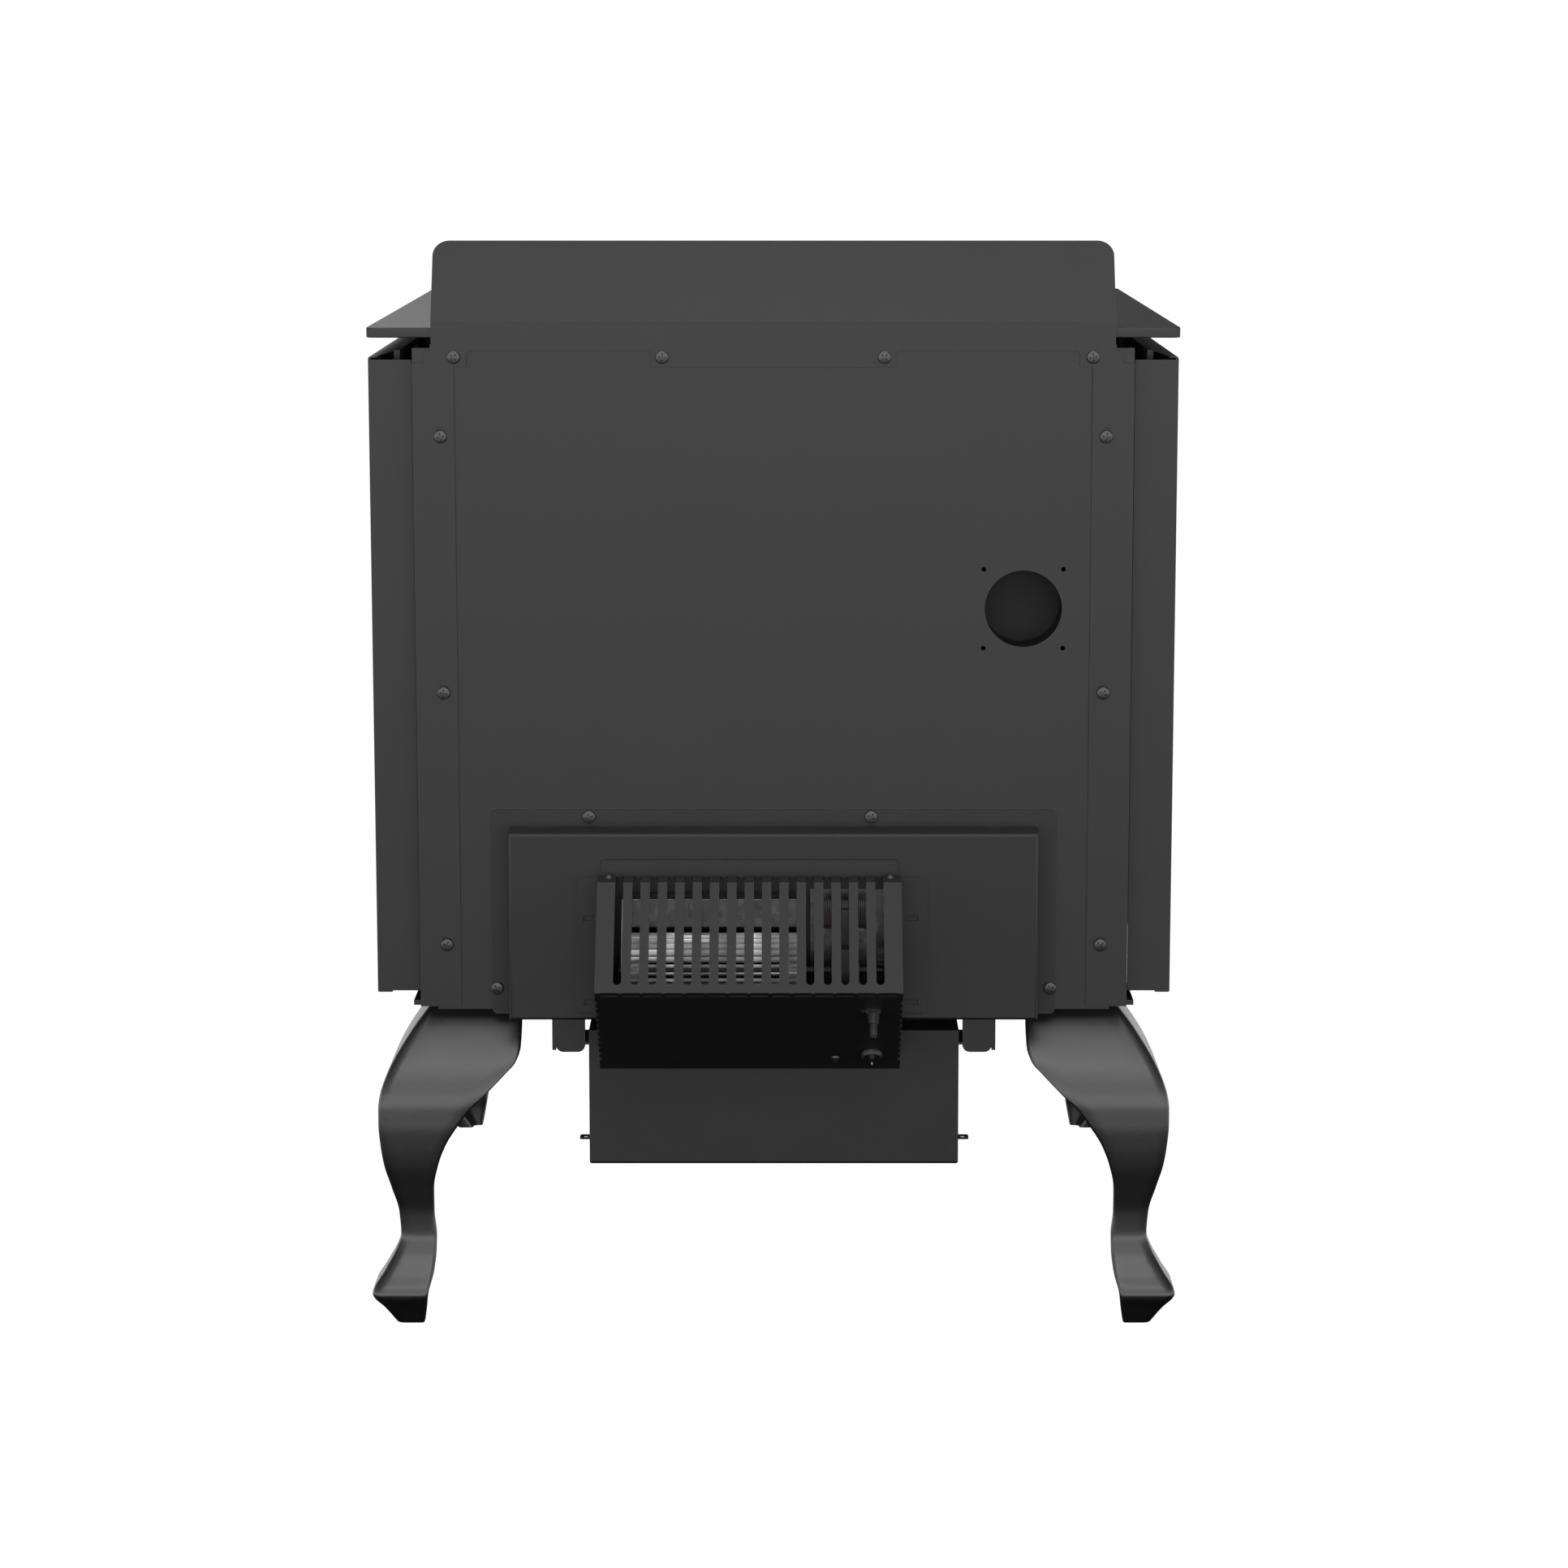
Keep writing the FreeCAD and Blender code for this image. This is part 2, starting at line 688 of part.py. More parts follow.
def blower_cage():
    half = cage_width / 2
    x0 = cage_x - half
    x1 = cage_x + half
    outline = cage_outline()
    body = side_profile(outline, x0, x1)
    folds = [e for e in body.Edges if abs(e.tangentAt(e.FirstParameter).x) > 0.99
             and e.CenterOfMass.y > shelf_y - 0.1]
    body = body.makeFillet(fold_radius, folds)
    flange = rounded_panel(x0 + 2, x1 - 2, cage_top - 8, cage_top + cage_flange,
                           mount_skin, mount_skin + panel_sheet, 3)
    body = fuse([body, flange])
    body = body.cut(side_profile(inset_outline(outline, panel_sheet), x0 + panel_sheet, x1 - panel_sheet))
    return body.cut(group(cage_slots() + ridge_slits() + edge_slits()))


def slant_frame():
    dy = ridge_y - shelf_y
    dz = ridge_z - cage_top
    return dy, dz, math.hypot(dy, dz)


def cage_slots():
    dy, dz, run = slant_frame()
    cutters = []
    for k in range(slot_count):
        x = cage_x + (k - (slot_count - 1) / 2) * slot_pitch
        slot = obround(slot_width, run - 7.2 + 12, 4)
        slot.translate(V(0, -12, 0))
        slot.rotate(V(0, 0, 0), X_AXIS, math.degrees(math.atan2(dz, dy)))
        slot.translate(V(x, shelf_y, cage_top))
        shelf_slot = obround(slot_width, shelf_reach - 4, 4)
        shelf_slot.translate(V(x, mount_skin + 4, cage_top))
        cutters += [slot.common(box(x - 9, x + 9, shelf_y - 2.5, ridge_y, 0, cage_top + 9)), shelf_slot]
    return cutters


def ridge_slits():
    count = int(cage_width / slit_pitch)
    cutters = []
    for k in range(count):
        x = cage_x + (k - (count - 1) / 2) * slit_pitch
        slit = box(x - slit_length / 2, x + slit_length / 2, -4, 4, -slit_width / 2, slit_width / 2)
        slit.rotate(V(0, 0, 0), X_AXIS, 45)
        slit.translate(V(0, ridge_y - 0.3, ridge_z - 0.6))
        cutters.append(slit)
    return cutters


def edge_slits():
    run = math.hypot(ridge_y - mount_skin, ridge_z - cage_base)
    count = int((run - 2 * edge_slit_pitch) / edge_slit_pitch)
    reach = panel_sheet * 1.6
    cutters = []
    for x in (cage_x - cage_width / 2, cage_x + cage_width / 2):
        for k in range(count):
            slit = box(x - reach, x + reach, -edge_slit_length / 2, edge_slit_length / 2, -reach, reach)
            cutters.append(on_underside(slit, edge_slit_pitch * (k + 1.5), 0))
    return cutters


def under_point(s, x=0.0, lift=0.0):
    # point s millimetres down the cage's underside from its ridge, lifted along its outward normal
    dy = mount_skin - ridge_y
    dz = cage_base - ridge_z
    run = math.hypot(dy, dz)
    normal = V(0, -dz / run, dy / run)
    return V(x, ridge_y + dy * s / run, ridge_z + dz * s / run) + normal * lift


def under_normal():
    return (under_point(0, 0, 1) - under_point(0)).normalize()


def on_underside(shape, s, x, lift=0.0):
    # turns +Z to the underside's outward normal and +Y up its slope
    angle = math.degrees(math.atan2(under_normal().y, under_normal().z))
    placed = shape.copy()
    placed.rotate(V(0, 0, 0), X_AXIS, -angle)
    placed.translate(under_point(s, x, lift))
    return placed


def cage_screws():
    screws = []
    for x in (cage_x - 110.6, cage_x + 110.6):
        screw = pan_screw(4.5, 2.8, 2.0, 6)
        screw.translate(V(x, mount_skin + 7, cage_top))
        screws.append(screw)
    screws.append(on_underside(pan_screw(3.6, 2.4, 1.6, 5), 98.9, control_x + 28.5))
    return group(screws)


def cage_with_holes():
    cage = blower_cage()
    for x in (cage_x - 110.6, cage_x + 110.6):
        cage = cage.cut(rod(2.0, V(x, mount_skin + 7, cage_top - 4), Z_AXIS, 8))
    cage = cage.cut(on_underside(rod(1.6, V(0, 0, -4), Z_AXIS, 8), 98.9, control_x + 28.5))
    cage = cage.cut(on_underside(rod(3.6, V(0, 0, -4), Z_AXIS, 8), control_s, control_x))
    return cage.cut(on_underside(rod(4.2, V(0, 0, -4), Z_AXIS, 8), relief_s, control_x))


def scroll():
    y0 = mount_skin
    wheel_end = wheel_x0 + wheel_length
    low = wheel_z - wheel_radius - scroll_drop
    high = wheel_z + wheel_radius + scroll_head
    nose = wheel_y + scroll_nose
    out0 = wheel_x0 - scroll_gap - panel_sheet
    out1 = wheel_end + scroll_gap + panel_sheet
    cheek = [(y0, low), (y0 + 26, low), (nose, wheel_z - 10), (nose, wheel_z + 15), (y0 + 28, high), (y0, high)]
    pieces = [side_profile(cheek, out0, wheel_x0 - scroll_gap), side_profile(cheek, wheel_end + scroll_gap, out1)]
    shaft_hole = rod(shaft_radius + running, V(out0 - 1, wheel_y, wheel_z), X_AXIS, out1 - out0 + 2)
    pieces = [p.cut(shaft_hole) for p in pieces]
    hood = box(out0, out1, y0, y0 + 28, high - panel_sheet, high)
    brow = box(out0, out1, y0 + 16, y0 + 16 + panel_sheet, wheel_z + wheel_radius + wheel_gap, high)
    rim = wheel_radius + 4
    guide = rod(rim + panel_sheet, V(out0, wheel_y, wheel_z), X_AXIS, out1 - out0)
    guide = guide.cut(rod(rim, V(out0 - 1, wheel_y, wheel_z), X_AXIS, out1 - out0 + 2))
    guide = guide.common(box(out0 - 1, out1 + 1, y0, wheel_y + 12, wheel_z - 50, wheel_z - 12))
    return fuse(pieces + [hood, brow, guide])


def wheel():
    start = V(wheel_x0, wheel_y, wheel_z)
    hub = rod(7, start, X_AXIS, 10)
    discs = []
    for x in (0, wheel_length / 2 - 0.5, wheel_length - 1.0):
        disc = rod(wheel_radius, start + V(x, 0, 0), X_AXIS, 1.0)
        if x > 0:
            disc = disc.cut(rod(wheel_radius - 9, start + V(x - 1, 0, 0), X_AXIS, 3))
        discs.append(disc)
    end_web = rod(wheel_radius - 8, start + V(wheel_length - 1.0, 0, 0), X_AXIS, 1.0)
    far_hub = rod(7, start + V(wheel_length - 8, 0, 0), X_AXIS, 8)
    whole = fuse([hub, end_web, far_hub] + discs + [blade(k) for k in range(blade_count)])
    return whole.cut(rod(shaft_radius, start - V(5, 0, 0), X_AXIS, wheel_length + 10))


def blade(k):
    # forward-curved blade: part of a thin ring, cut to the wheel's rim band
    arc_radius = 8.0
    ring = rod(arc_radius, V(wheel_x0, 0, 0), X_AXIS, wheel_length)
    ring = ring.cut(rod(arc_radius - 0.6, V(wheel_x0 - 1, 0, 0), X_AXIS, wheel_length + 2))
    ring = ring.common(box(wheel_x0, wheel_x0 + wheel_length, 0, arc_radius + 1, -3.0, 4.5))
    ring.translate(V(0, -arc_radius, wheel_radius - 5))
    ring.rotate(V(0, 0, 0), X_AXIS, 360.0 * k / blade_count)
    ring.translate(V(0, wheel_y, wheel_z))
    return ring


def blower_shaft():
    x0 = motor_x0 - 20
    x1 = wheel_x0 + wheel_length + 9
    shaft = rod(shaft_radius, V(x0, wheel_y, wheel_z), X_AXIS, x1 - x0)
    rotor = rod(rotor_radius, V(motor_x0 - 1, wheel_y, wheel_z), X_AXIS, motor_stack + 2)
    return fuse([shaft, rotor])


def motor_core():
    # stack of laminations: a block round the rotor with a narrower loop above it for the coil
    x1 = motor_x0 + motor_stack
    y0 = wheel_y - core_half
    block = box(motor_x0, x1, y0, wheel_y + core_half, wheel_z - core_half - 3, wheel_z + core_half)
    loop = box(motor_x0, x1, y0, y0 + core_loop, wheel_z + core_half, wheel_z + core_half + core_rise)
    window = box(motor_x0 - 1, x1 + 1, y0 + 7, y0 + core_loop - 7, wheel_z + core_half,
                 wheel_z + core_half + core_rise - 9)
    bore = rod(rotor_radius + clearance * 2, V(motor_x0 - 1, wheel_y, wheel_z), X_AXIS, motor_stack + 2)
    return fuse([block, loop.cut(window)]).cut(bore)


def motor_coil():
    # winding round the loop's top limb
    x1 = motor_x0 + motor_stack
    y0 = wheel_y - core_half
    low = wheel_z + core_half + core_rise - 9
    spool = box(motor_x0 - 7, x1 + 7, y0 + 7.5, y0 + core_loop - 7.5, low - 8, low + 15)
    limb = box(motor_x0, x1, y0, y0 + core_loop, low, low + 9)
    return spool.cut(limb)


def motor_bracket():
    # back plate with cut lower corners and two arms that carry the shaft
    y0 = mount_skin
    x0 = -88.4
    x1 = -29.0
    low = wheel_z - 24
    top = wheel_z + 58.5
    back = prism([V(x0, y0, top), V(x1, y0, top), V(x1, y0, low + 14), V(x1 - 14, y0, low),
                  V(x0 + 14, y0, low), V(x0, y0, low + 14)], V(0, 1.2, 0))
    arms = []
    for x in (motor_x0 - 12, motor_x0 + motor_stack + 10):
        arm = box(x, x + 1.6, y0, wheel_y + 9, wheel_z - 9, wheel_z + 9)
        boss = rod(7, V(x - 2, wheel_y, wheel_z), X_AXIS, 5.6)
        arms.append(fuse([arm, boss]).cut(rod(shaft_radius + running, V(x - 5, wheel_y, wheel_z), X_AXIS, 12)))
    return fuse([back] + arms)


def terminal_block():
    x0 = motor_x0 - 22
    y0 = wheel_y - 6
    body = box(x0, x0 + 7, y0, y0 + 8, wheel_z + 4, wheel_z + 18)
    tags = [box(x0 + 1.5, x0 + 5.5, y0 + 8, y0 + 13, wheel_z + z, wheel_z + z + 0.8) for z in (7, 13)]
    post = box(x0 + 1.5, x0 + 5.5, mount_skin + panel_sheet, y0, wheel_z + 8, wheel_z + 14)
    return fuse([body, post] + tags)


def speed_control():
    body = rod(8.0, V(0, 0, -13), Z_AXIS, 13 - panel_sheet)
    body = body.cut(rod(3 + running, V(0, 0, -9), Z_AXIS, 20))
    return on_underside(body, control_s, control_x)


def speed_knob():
    skirt = Part.makeCone(8.8, 7.6, 5.4, V(0, 0, clearance), Z_AXIS)
    grip = box(-4.2, 4.2, -6.8, 6.8, clearance, 8.4)
    shaft = rod(3, V(0, 0, -8.5), Z_AXIS, 9)
    return on_underside(fuse([skirt, grip, shaft]), control_s, control_x)


def strain_relief():
    block = box(-6, 6, -3.2, 3.2, 0, 3.6)
    strap = box(5, 9.5, -1.6, 1.6, 0, 1.4)
    cone = Part.makeCone(4.9, 3.9, 8.6, V(0, 0, 3.6), Z_AXIS)
    neck = rod(4.2, V(0, 0, -5), Z_AXIS, 5)
    lock = Part.makeCone(4.2, 5.4, 2.4, V(0, 0, -4.8), Z_AXIS)
    body = fuse([block, strap, cone, neck, lock])
    return on_underside(body.cut(rod(cord_radius, V(0, 0, -6), Z_AXIS, 24)), relief_s, control_x)


def cord_stub():
    jacket = rod(cord_radius, V(0, 0, -5), Z_AXIS, 5 + stub_length)
    cores = [rod(0.8, V(x, y, stub_length - 0.1), Z_AXIS, 0.5) for x, y in ((0, 1.2), (-1.1, -0.7), (1.1, -0.7))]
    return on_underside(fuse([jacket] + cores), relief_s, control_x)


# ---- legs ----


def leg_bolt_places():
    reach = leg_profile[-1][1] - leg_bolt_inset
    return [V(sx * (reach + leg_shift_x), body_mid + sy * (reach + leg_shift_y), base_height)
            for sx in (-1, 1) for sy in (-1, 1)]


def leg_section(z, outer, wing):
    # angle section: outer corner rounded, wings along both body sides
    span = outer - wing
    skin = min(leg_skin + (1 - z / base_height) * 6, span * 0.72)
    soft = min(crest_radius, span * 0.3)
    low = body_mid - outer
    start = V(-wing, low, z)
    corner_a = V(-outer + soft, low, z)
    corner_b = V(-outer, low + soft, z)
    far = V(-outer, body_mid - wing, z)
    middle = V(-outer + soft * (1 - math.sqrt(0.5)), low + soft * (1 - math.sqrt(0.5)), z)
    edges = [
        Part.LineSegment(start, corner_a).toShape(),
        Part.Arc(corner_a, middle, corner_b).toShape(),
        Part.LineSegment(corner_b, far).toShape(),
        Part.LineSegment(far, V(-outer + skin, body_mid - wing, z)).toShape(),
        Part.LineSegment(V(-outer + skin, body_mid - wing, z), V(-outer + skin, low + skin, z)).toShape(),
        Part.LineSegment(V(-outer + skin, low + skin, z), V(-wing, low + skin, z)).toShape(),
        Part.LineSegment(V(-wing, low + skin, z), start).toShape()]
    return Part.Wire(edges)


def leg():
    # front left leg; the others are its mirror images
    top = leg_profile[-1]
    scale = base_height / top[0]
    sections = [leg_section(z * scale, outer, wing) for z, outer, wing in leg_profile]
    post = Part.makeLoft(sections, True, True)
    reach = top[1]
    pad = box(-reach + leg_skin, -top[2], body_mid - reach + leg_skin, body_mid - top[2],
              base_height - leg_pad, base_height)
    hole = rod(leg_bolt + clearance, V(-reach + leg_bolt_inset, body_mid - reach + leg_bolt_inset,
                                       base_height - leg_pad - 1), Z_AXIS, leg_pad + 2)
    whole = fuse([post, pad]).cut(hole)
    whole.translate(V(-leg_shift_x, -leg_shift_y, 0))
    return whole


def leg_bolts():
    bolts = []
    for place in leg_bolt_places():
        shank = rod(leg_bolt, place - V(0, 0, 8), Z_AXIS, 8 + base_thick)
        head = hex_head(8.5, 6.4, place - V(0, 0, 16.4))
        washer = rod(10.5, place - V(0, 0, 10), Z_AXIS, 2)
        bolts.append(fuse([shank, head, washer]))
    return group(bolts)


# ---- ash box and drawer ----

def ash_box():
    front = face_outer
    outer = box(-ash_half, ash_half, front, ash_rear, ash_base, ash_top)
    low_edges = [e for e in outer.Edges if abs(e.CenterOfMass.z - ash_base) < 0.1
                 and abs(e.CenterOfMass.y - front) > 0.1]
    outer = outer.makeFillet(bend, low_edges)
    inner = box(-ash_half + sheet, ash_half - sheet, front - 1, ash_rear - sheet, ash_base + sheet, ash_top - sheet)
    shell = outer.cut(inner)
    throat_x = plug_length / 2 + 6
    throat_y = plug_width / 2 + 6
    throat = box(-throat_x, throat_x, body_mid - throat_y, body_mid + throat_y, ash_top - sheet, base_height)
    mouth = box(-throat_x + sheet, throat_x - sheet, body_mid - throat_y + sheet, body_mid + throat_y - sheet,
                ash_top - 5, base_height + 1)
    ears = []
    for s in (-1, 1):
        ear = ash_ear()
        ears.append(ear if s > 0 else mirror_x(ear))
    return fuse([shell.cut(mouth), throat.cut(mouth)] + ears)


def ash_ear():
    # small eared tab on the +X side, level with the bottom
    y = ash_rear - ear_setback
    ear = rounded_plate(ash_half + 2.4, ash_half + 12, y - 5.2, y + 5.2, ash_base, ash_base + sheet, 2)
    neck = box(ash_half - sheet, ash_half + 3, y - 2.6, y + 2.6, ash_base, ash_base + sheet)
    hole = rod(ear_hole, V(ash_half + 7.2, y, ash_base - 1), Z_AXIS, 4)
    return fuse([ear, neck]).cut(hole)


def ash_hangers():
    hangers = []
    rear = ash_rear - 1
    for y in (rear - 50, body_mid - 100, face_inner + 20):
        plate = box(ash_half + 26.6, ash_half + 29.6, y, y + 50, base_height - 39.5, base_height)
        shelf = box(ash_half, ash_half + 26.6, y + 8, y + 50, ash_top - 12, ash_top - 10)
        face = rounded_panel(ash_half + 3, ash_half + 26.6, ash_base + 93, base_height, y + 47, y + 50, 6)
        hanger = fuse([plate, shelf, face])
        hangers.append(hanger)
        hangers.append(mirror_x(hanger))
    return group(hangers)


def ash_drawer():
    half = ash_half - drawer_gap
    low = ash_base + sheet + clearance * 2
    high = ash_top - drawer_top
    rear = ash_rear - sheet - 8
    tray = box(-half, half, face_outer - 1.5, rear, low, high)
    tray = tray.cut(box(-half + sheet, half - sheet, face_outer, rear - sheet, low + sheet, high + 1))
    return tray


def drawer_front():
    y1 = face_outer - 1.5
    plate = rounded_panel(-ash_half - 3, ash_half + 3, ash_base - 3, ash_top + 1, y1 - 4, y1, 6)
    posts = [rod(5, V(x, y1 - 30, ash_base + ash_height / 2), Y_AXIS, 26) for x in (-55, 55)]
    bar = rod(6.5, V(-72, y1 - 30, ash_base + ash_height / 2), X_AXIS, 144)
    return fuse([plate, bar] + posts)


# ---- firebox lining ----

def floor_bricks():
    columns = 4
    rows = 2
    y0 = inner_rear - brick - 2 - rows * brick_long
    x0 = -columns * brick_wide / 2
    hole = box(-plug_length / 2 - 3, plug_length / 2 + 3, body_mid - plug_width / 2 - 3,
               body_mid + plug_width / 2 + 3, floor_top - 1, floor_top + brick + 1)
    bricks = []
    for i in range(columns):
        for j in range(rows):
            front = max(y0 + j * brick_long + joint_line, face_inner + brick_front)
            block = box(x0 + i * brick_wide + joint_line, x0 + (i + 1) * brick_wide, front,
                        y0 + (j + 1) * brick_long, floor_top, floor_top + brick)
            bricks.append(block.cut(hole))
    return group(bricks)


def wall_bricks():
    # along both sides and the back, standing on the firebox floor
    side_count = int((inner_rear - brick - face_inner - brick_room) / brick_wide)
    rear_count = int(2 * (inner_half - brick) / brick_wide)
    y0 = body_mid - side_count * brick_wide / 2
    top = floor_top + brick_tall
    bricks = []
    for k in range(side_count):
        block = box(inner_half - brick - 1, inner_half - 1, y0 + k * brick_wide + joint_line,
                    y0 + (k + 1) * brick_wide, floor_top, top)
        bricks.append(block)
        bricks.append(mirror_x(block))
    for k in range(rear_count):
        x = (k - rear_count / 2) * brick_wide
        bricks.append(box(x + joint_line, x + brick_wide, inner_rear - brick - 1, inner_rear - 1, floor_top, top))
    return group(bricks)


def tube_rows():
    first = inner_rear - 60
    return [first - k * tube_pitch for k in range(tube_count)]


def side_channels():
    # box rails that feed the secondary air tubes
    y0 = tube_rows()[-1] - 30
    rail = box(inner_half - channel_wide, inner_half, y0, inner_rear, tube_z - tube_radius - tube_margin, tube_z + tube_radius + tube_margin)
    rail = rail.cut(box(inner_half - channel_wide + 3, inner_half - 2, y0 + 3, inner_rear - 3,
                        tube_z - tube_radius - 3, tube_z + tube_radius + 3))
    for y in tube_rows():
        rail = rail.cut(rod(tube_radius, V(inner_half - channel_wide - 1, y, tube_z), X_AXIS, 5))
    return group([rail, mirror_x(rail)])


def air_tubes():
    half = inner_half - channel_wide + 3
    tubes = []
    for y in tube_rows():
        tube = rod(tube_radius, V(-half, y, tube_z), X_AXIS, 2 * half)
        tube = tube.cut(rod(tube_radius - 1.6, V(-half - 1, y, tube_z), X_AXIS, 2 * half + 2))
        tubes.append(tube)
    return group(tubes)


def baffle_boards():
    low = tube_z + tube_radius + tube_margin
    y0 = tube_rows()[-1] - 34
    boards = []
    for x0, x1 in ((-inner_half + 2, -0.4), (0.4, inner_half - 2)):
        boards.append(box(x0, x1, y0, inner_rear - 1, low, low + baffle_thick))
    return group(boards)


def blanket():
    low = tube_z + tube_radius + tube_margin + baffle_thick
    y0 = tube_rows()[-1] - 20
    return box(-inner_half + 6, inner_half - 6, y0, inner_rear - 2, low, low + blanket_thick)


def ash_plug():
    low = floor_top + clearance
    lid = rounded_plate(-plug_length / 2, plug_length / 2, body_mid - plug_width / 2, body_mid + plug_width / 2,
                        low, low + 9, 6)
    half_x = plug_length / 2 - 8 - 1.5
    half_y = plug_width / 2 - 8 - 1.5
    foot = box(-half_x, half_x, body_mid - half_y, body_mid + half_y, base_top - 1, low + 1)
    loop = Part.makeTorus(9, 2.5, V(0, body_mid, low + 12), X_AXIS)
    loop = loop.common(box(-5, 5, body_mid - 20, body_mid + 20, low + 5, low + 40))
    return fuse([lid, foot, loop])


# ---- door ----

def door_frame():
    body = rounded_panel(-door_half, door_half, door_low, door_top, door_outer, door_inner, 14)
    face_edges = [e for e in body.Edges if abs(e.CenterOfMass.y - door_outer) < 0.1]
    body = body.makeFillet(5, face_edges)
    window = rounded_panel(-window_half, window_half, door_low + window_margin, door_top - window_margin,
                           door_outer - 1, door_inner + 1, 10)
    pocket = rounded_panel(-window_half - glass_lap - 3, window_half + glass_lap + 3,
                           door_low + window_margin - glass_lap - 3, door_top - window_margin + glass_lap + 3,
                           door_inner - 11, door_inner + 1, 8)
    body = body.cut(window).cut(pocket).cut(gasket_ring(gasket + 1, door_inner - 6, door_inner + 1))
    knuckles = []
    for z in hinge_heights():
        z0 = z + clearance
        arm = box(door_half - 12, hinge_x, hinge_y - 7, hinge_y + 7, z0, z0 + knuckle)
        knuckles += [arm, rod(10, V(hinge_x, hinge_y, z0), Z_AXIS, knuckle)]
    body = fuse([body] + knuckles)
    for z in hinge_heights():
        body = body.cut(rod(pin_radius + running, V(hinge_x, hinge_y, z - 1), Z_AXIS, knuckle + 4))
    shaft_hole = rod(handle_shaft + running, V(handle_x, door_outer - 1, handle_z), Y_AXIS, door_thick + 2)
    return body.cut(shaft_hole)


def hinge_heights():
    return [door_low + 55, door_top - 55 - knuckle]


def hinge_lugs():
    lugs = []
    for z in hinge_heights():
        block = box(hinge_x - 10, hinge_x + 10, hinge_y, face_outer, z - lug, z)
        eye = rod(10, V(hinge_x, hinge_y, z - lug), Z_AXIS, lug)
        lugs.append(fuse([block, eye]).cut(rod(pin_radius, V(hinge_x, hinge_y, z - lug - 1), Z_AXIS, lug + 2)))
    return group(lugs)


def hinge_pins():
    pins = []
    for z in hinge_heights():
        pin = rod(pin_radius, V(hinge_x, hinge_y, z - lug), Z_AXIS, lug + knuckle + clearance + 2)
        head = rod(pin_radius + 2.5, V(hinge_x, hinge_y, z + knuckle + 2 * clearance), Z_AXIS, 3)
        pins.append(fuse([pin, head]))
    return group(pins)


def gasket_ring(width, y0, y1):
    half = width / 2
    out_x = door_half - gasket_inset + half
    low = door_low + gasket_inset / 2 - half
    high = door_top - gasket_inset / 2 + half
    outside = (out_x, low, high)
    inside = (out_x - width, low + width, high - width)
    return ring_panel(outside, inside, y0, y1, 12)


def door_gasket():
    return gasket_ring(gasket, door_inner - 5.8, face_outer - clearance)


def glass_extent(extra):
    return (window_half + glass_lap + extra, door_low + window_margin - glass_lap - extra,
            door_top - window_margin + glass_lap + extra)


def door_glass():
    half, low, high = glass_extent(0)
    y0 = door_inner - 11 + gasket_sheet
    return rounded_panel(-half, half, low, high, y0, y0 + glass_thick, 6)


def glass_gasket():
    y0 = door_inner - 11
    outside = glass_extent(1)
    inside = (window_half + 1, door_low + window_margin - 1, door_top - window_margin + 1)
    return ring_panel(outside, inside, y0, y0 + gasket_sheet, 7)


def glass_clips():
    clips = []
    half, low, high = glass_extent(0)
    y0 = door_inner - 11 + gasket_sheet + glass_thick
    for z in (low + 60, high - 60):
        clip = fuse([box(half - 8, half + 16, door_inner, door_inner + 1.6, z - 8, z + 8),
                     box(half - 8, half, y0, door_inner, z - 8, z + 8)])
        clips += [clip, mirror_x(clip)]
    for x in (-80, 80):
        for edge, out in ((low, -1), (high, 1)):
            z_in = edge - out * 8
            z_out = edge + out * 12
            arm = box(x - 8, x + 8, door_inner, door_inner + 1.6, min(z_in, z_out), max(z_in, z_out))
            pad = box(x - 8, x + 8, y0, door_inner, min(z_in, edge), max(z_in, edge))
            clips.append(fuse([arm, pad]))
    return group(clips)


def handle_rod():
    # shaft through the door with the latch cam on its inner end and the crank outside
    shaft = rod(handle_shaft, V(handle_x, door_outer - 20, handle_z), Y_AXIS, door_thick + 20 + door_gap - 0.5)
    cam = box(handle_x - cam_reach, handle_x, door_inner + clearance, face_outer - clearance,
              handle_z - handle_shaft, handle_z + handle_shaft)
    cam = cam.cut(box(handle_x - cam_reach - 1, handle_x - cam_reach + 6, door_inner - 1, face_outer + 1,
                      handle_z - 7, handle_z - 2))
    cam.rotate(V(handle_x, 0, handle_z), Y_AXIS, -handle_turn)
    crank = rod(5, V(handle_x, door_outer - 20, handle_z), V(0, 0, -1), 22)
    elbow = Part.makeSphere(6, V(handle_x, door_outer - 20, handle_z))
    return fuse([shaft, cam, crank, elbow])


def handle_grip():
    top = V(handle_x, door_outer - 20, handle_z - 22)
    body = rod(10, top, V(0, 0, -1), grip_length)
    ends = [e for e in body.Edges if e.Closed]
    return body.makeFillet(4, ends)


def latch_keeper():
    # post outside the door's free edge with a lip that the cam turns behind
    edge = -door_half - 4
    post = box(edge - 26, edge - 16, door_inner - 7, face_outer, handle_z - 9, handle_z + 9)
    lip = box(edge - 16, edge, door_inner - 7, door_inner - 0.5, handle_z - 9, handle_z + 9)
    return fuse([post, lip])


# ---- combustion air control ----


def damper_guides():
    low = base_height - damper_thick - 3
    rails = []
    for y in (inlet_y - damper_wide / 2 - clearance - 8, inlet_y + damper_wide / 2 + clearance):
        rails.append(box(-damper_half - 30, damper_half + 30, y, y + 8, low, base_height))
    return group(rails)


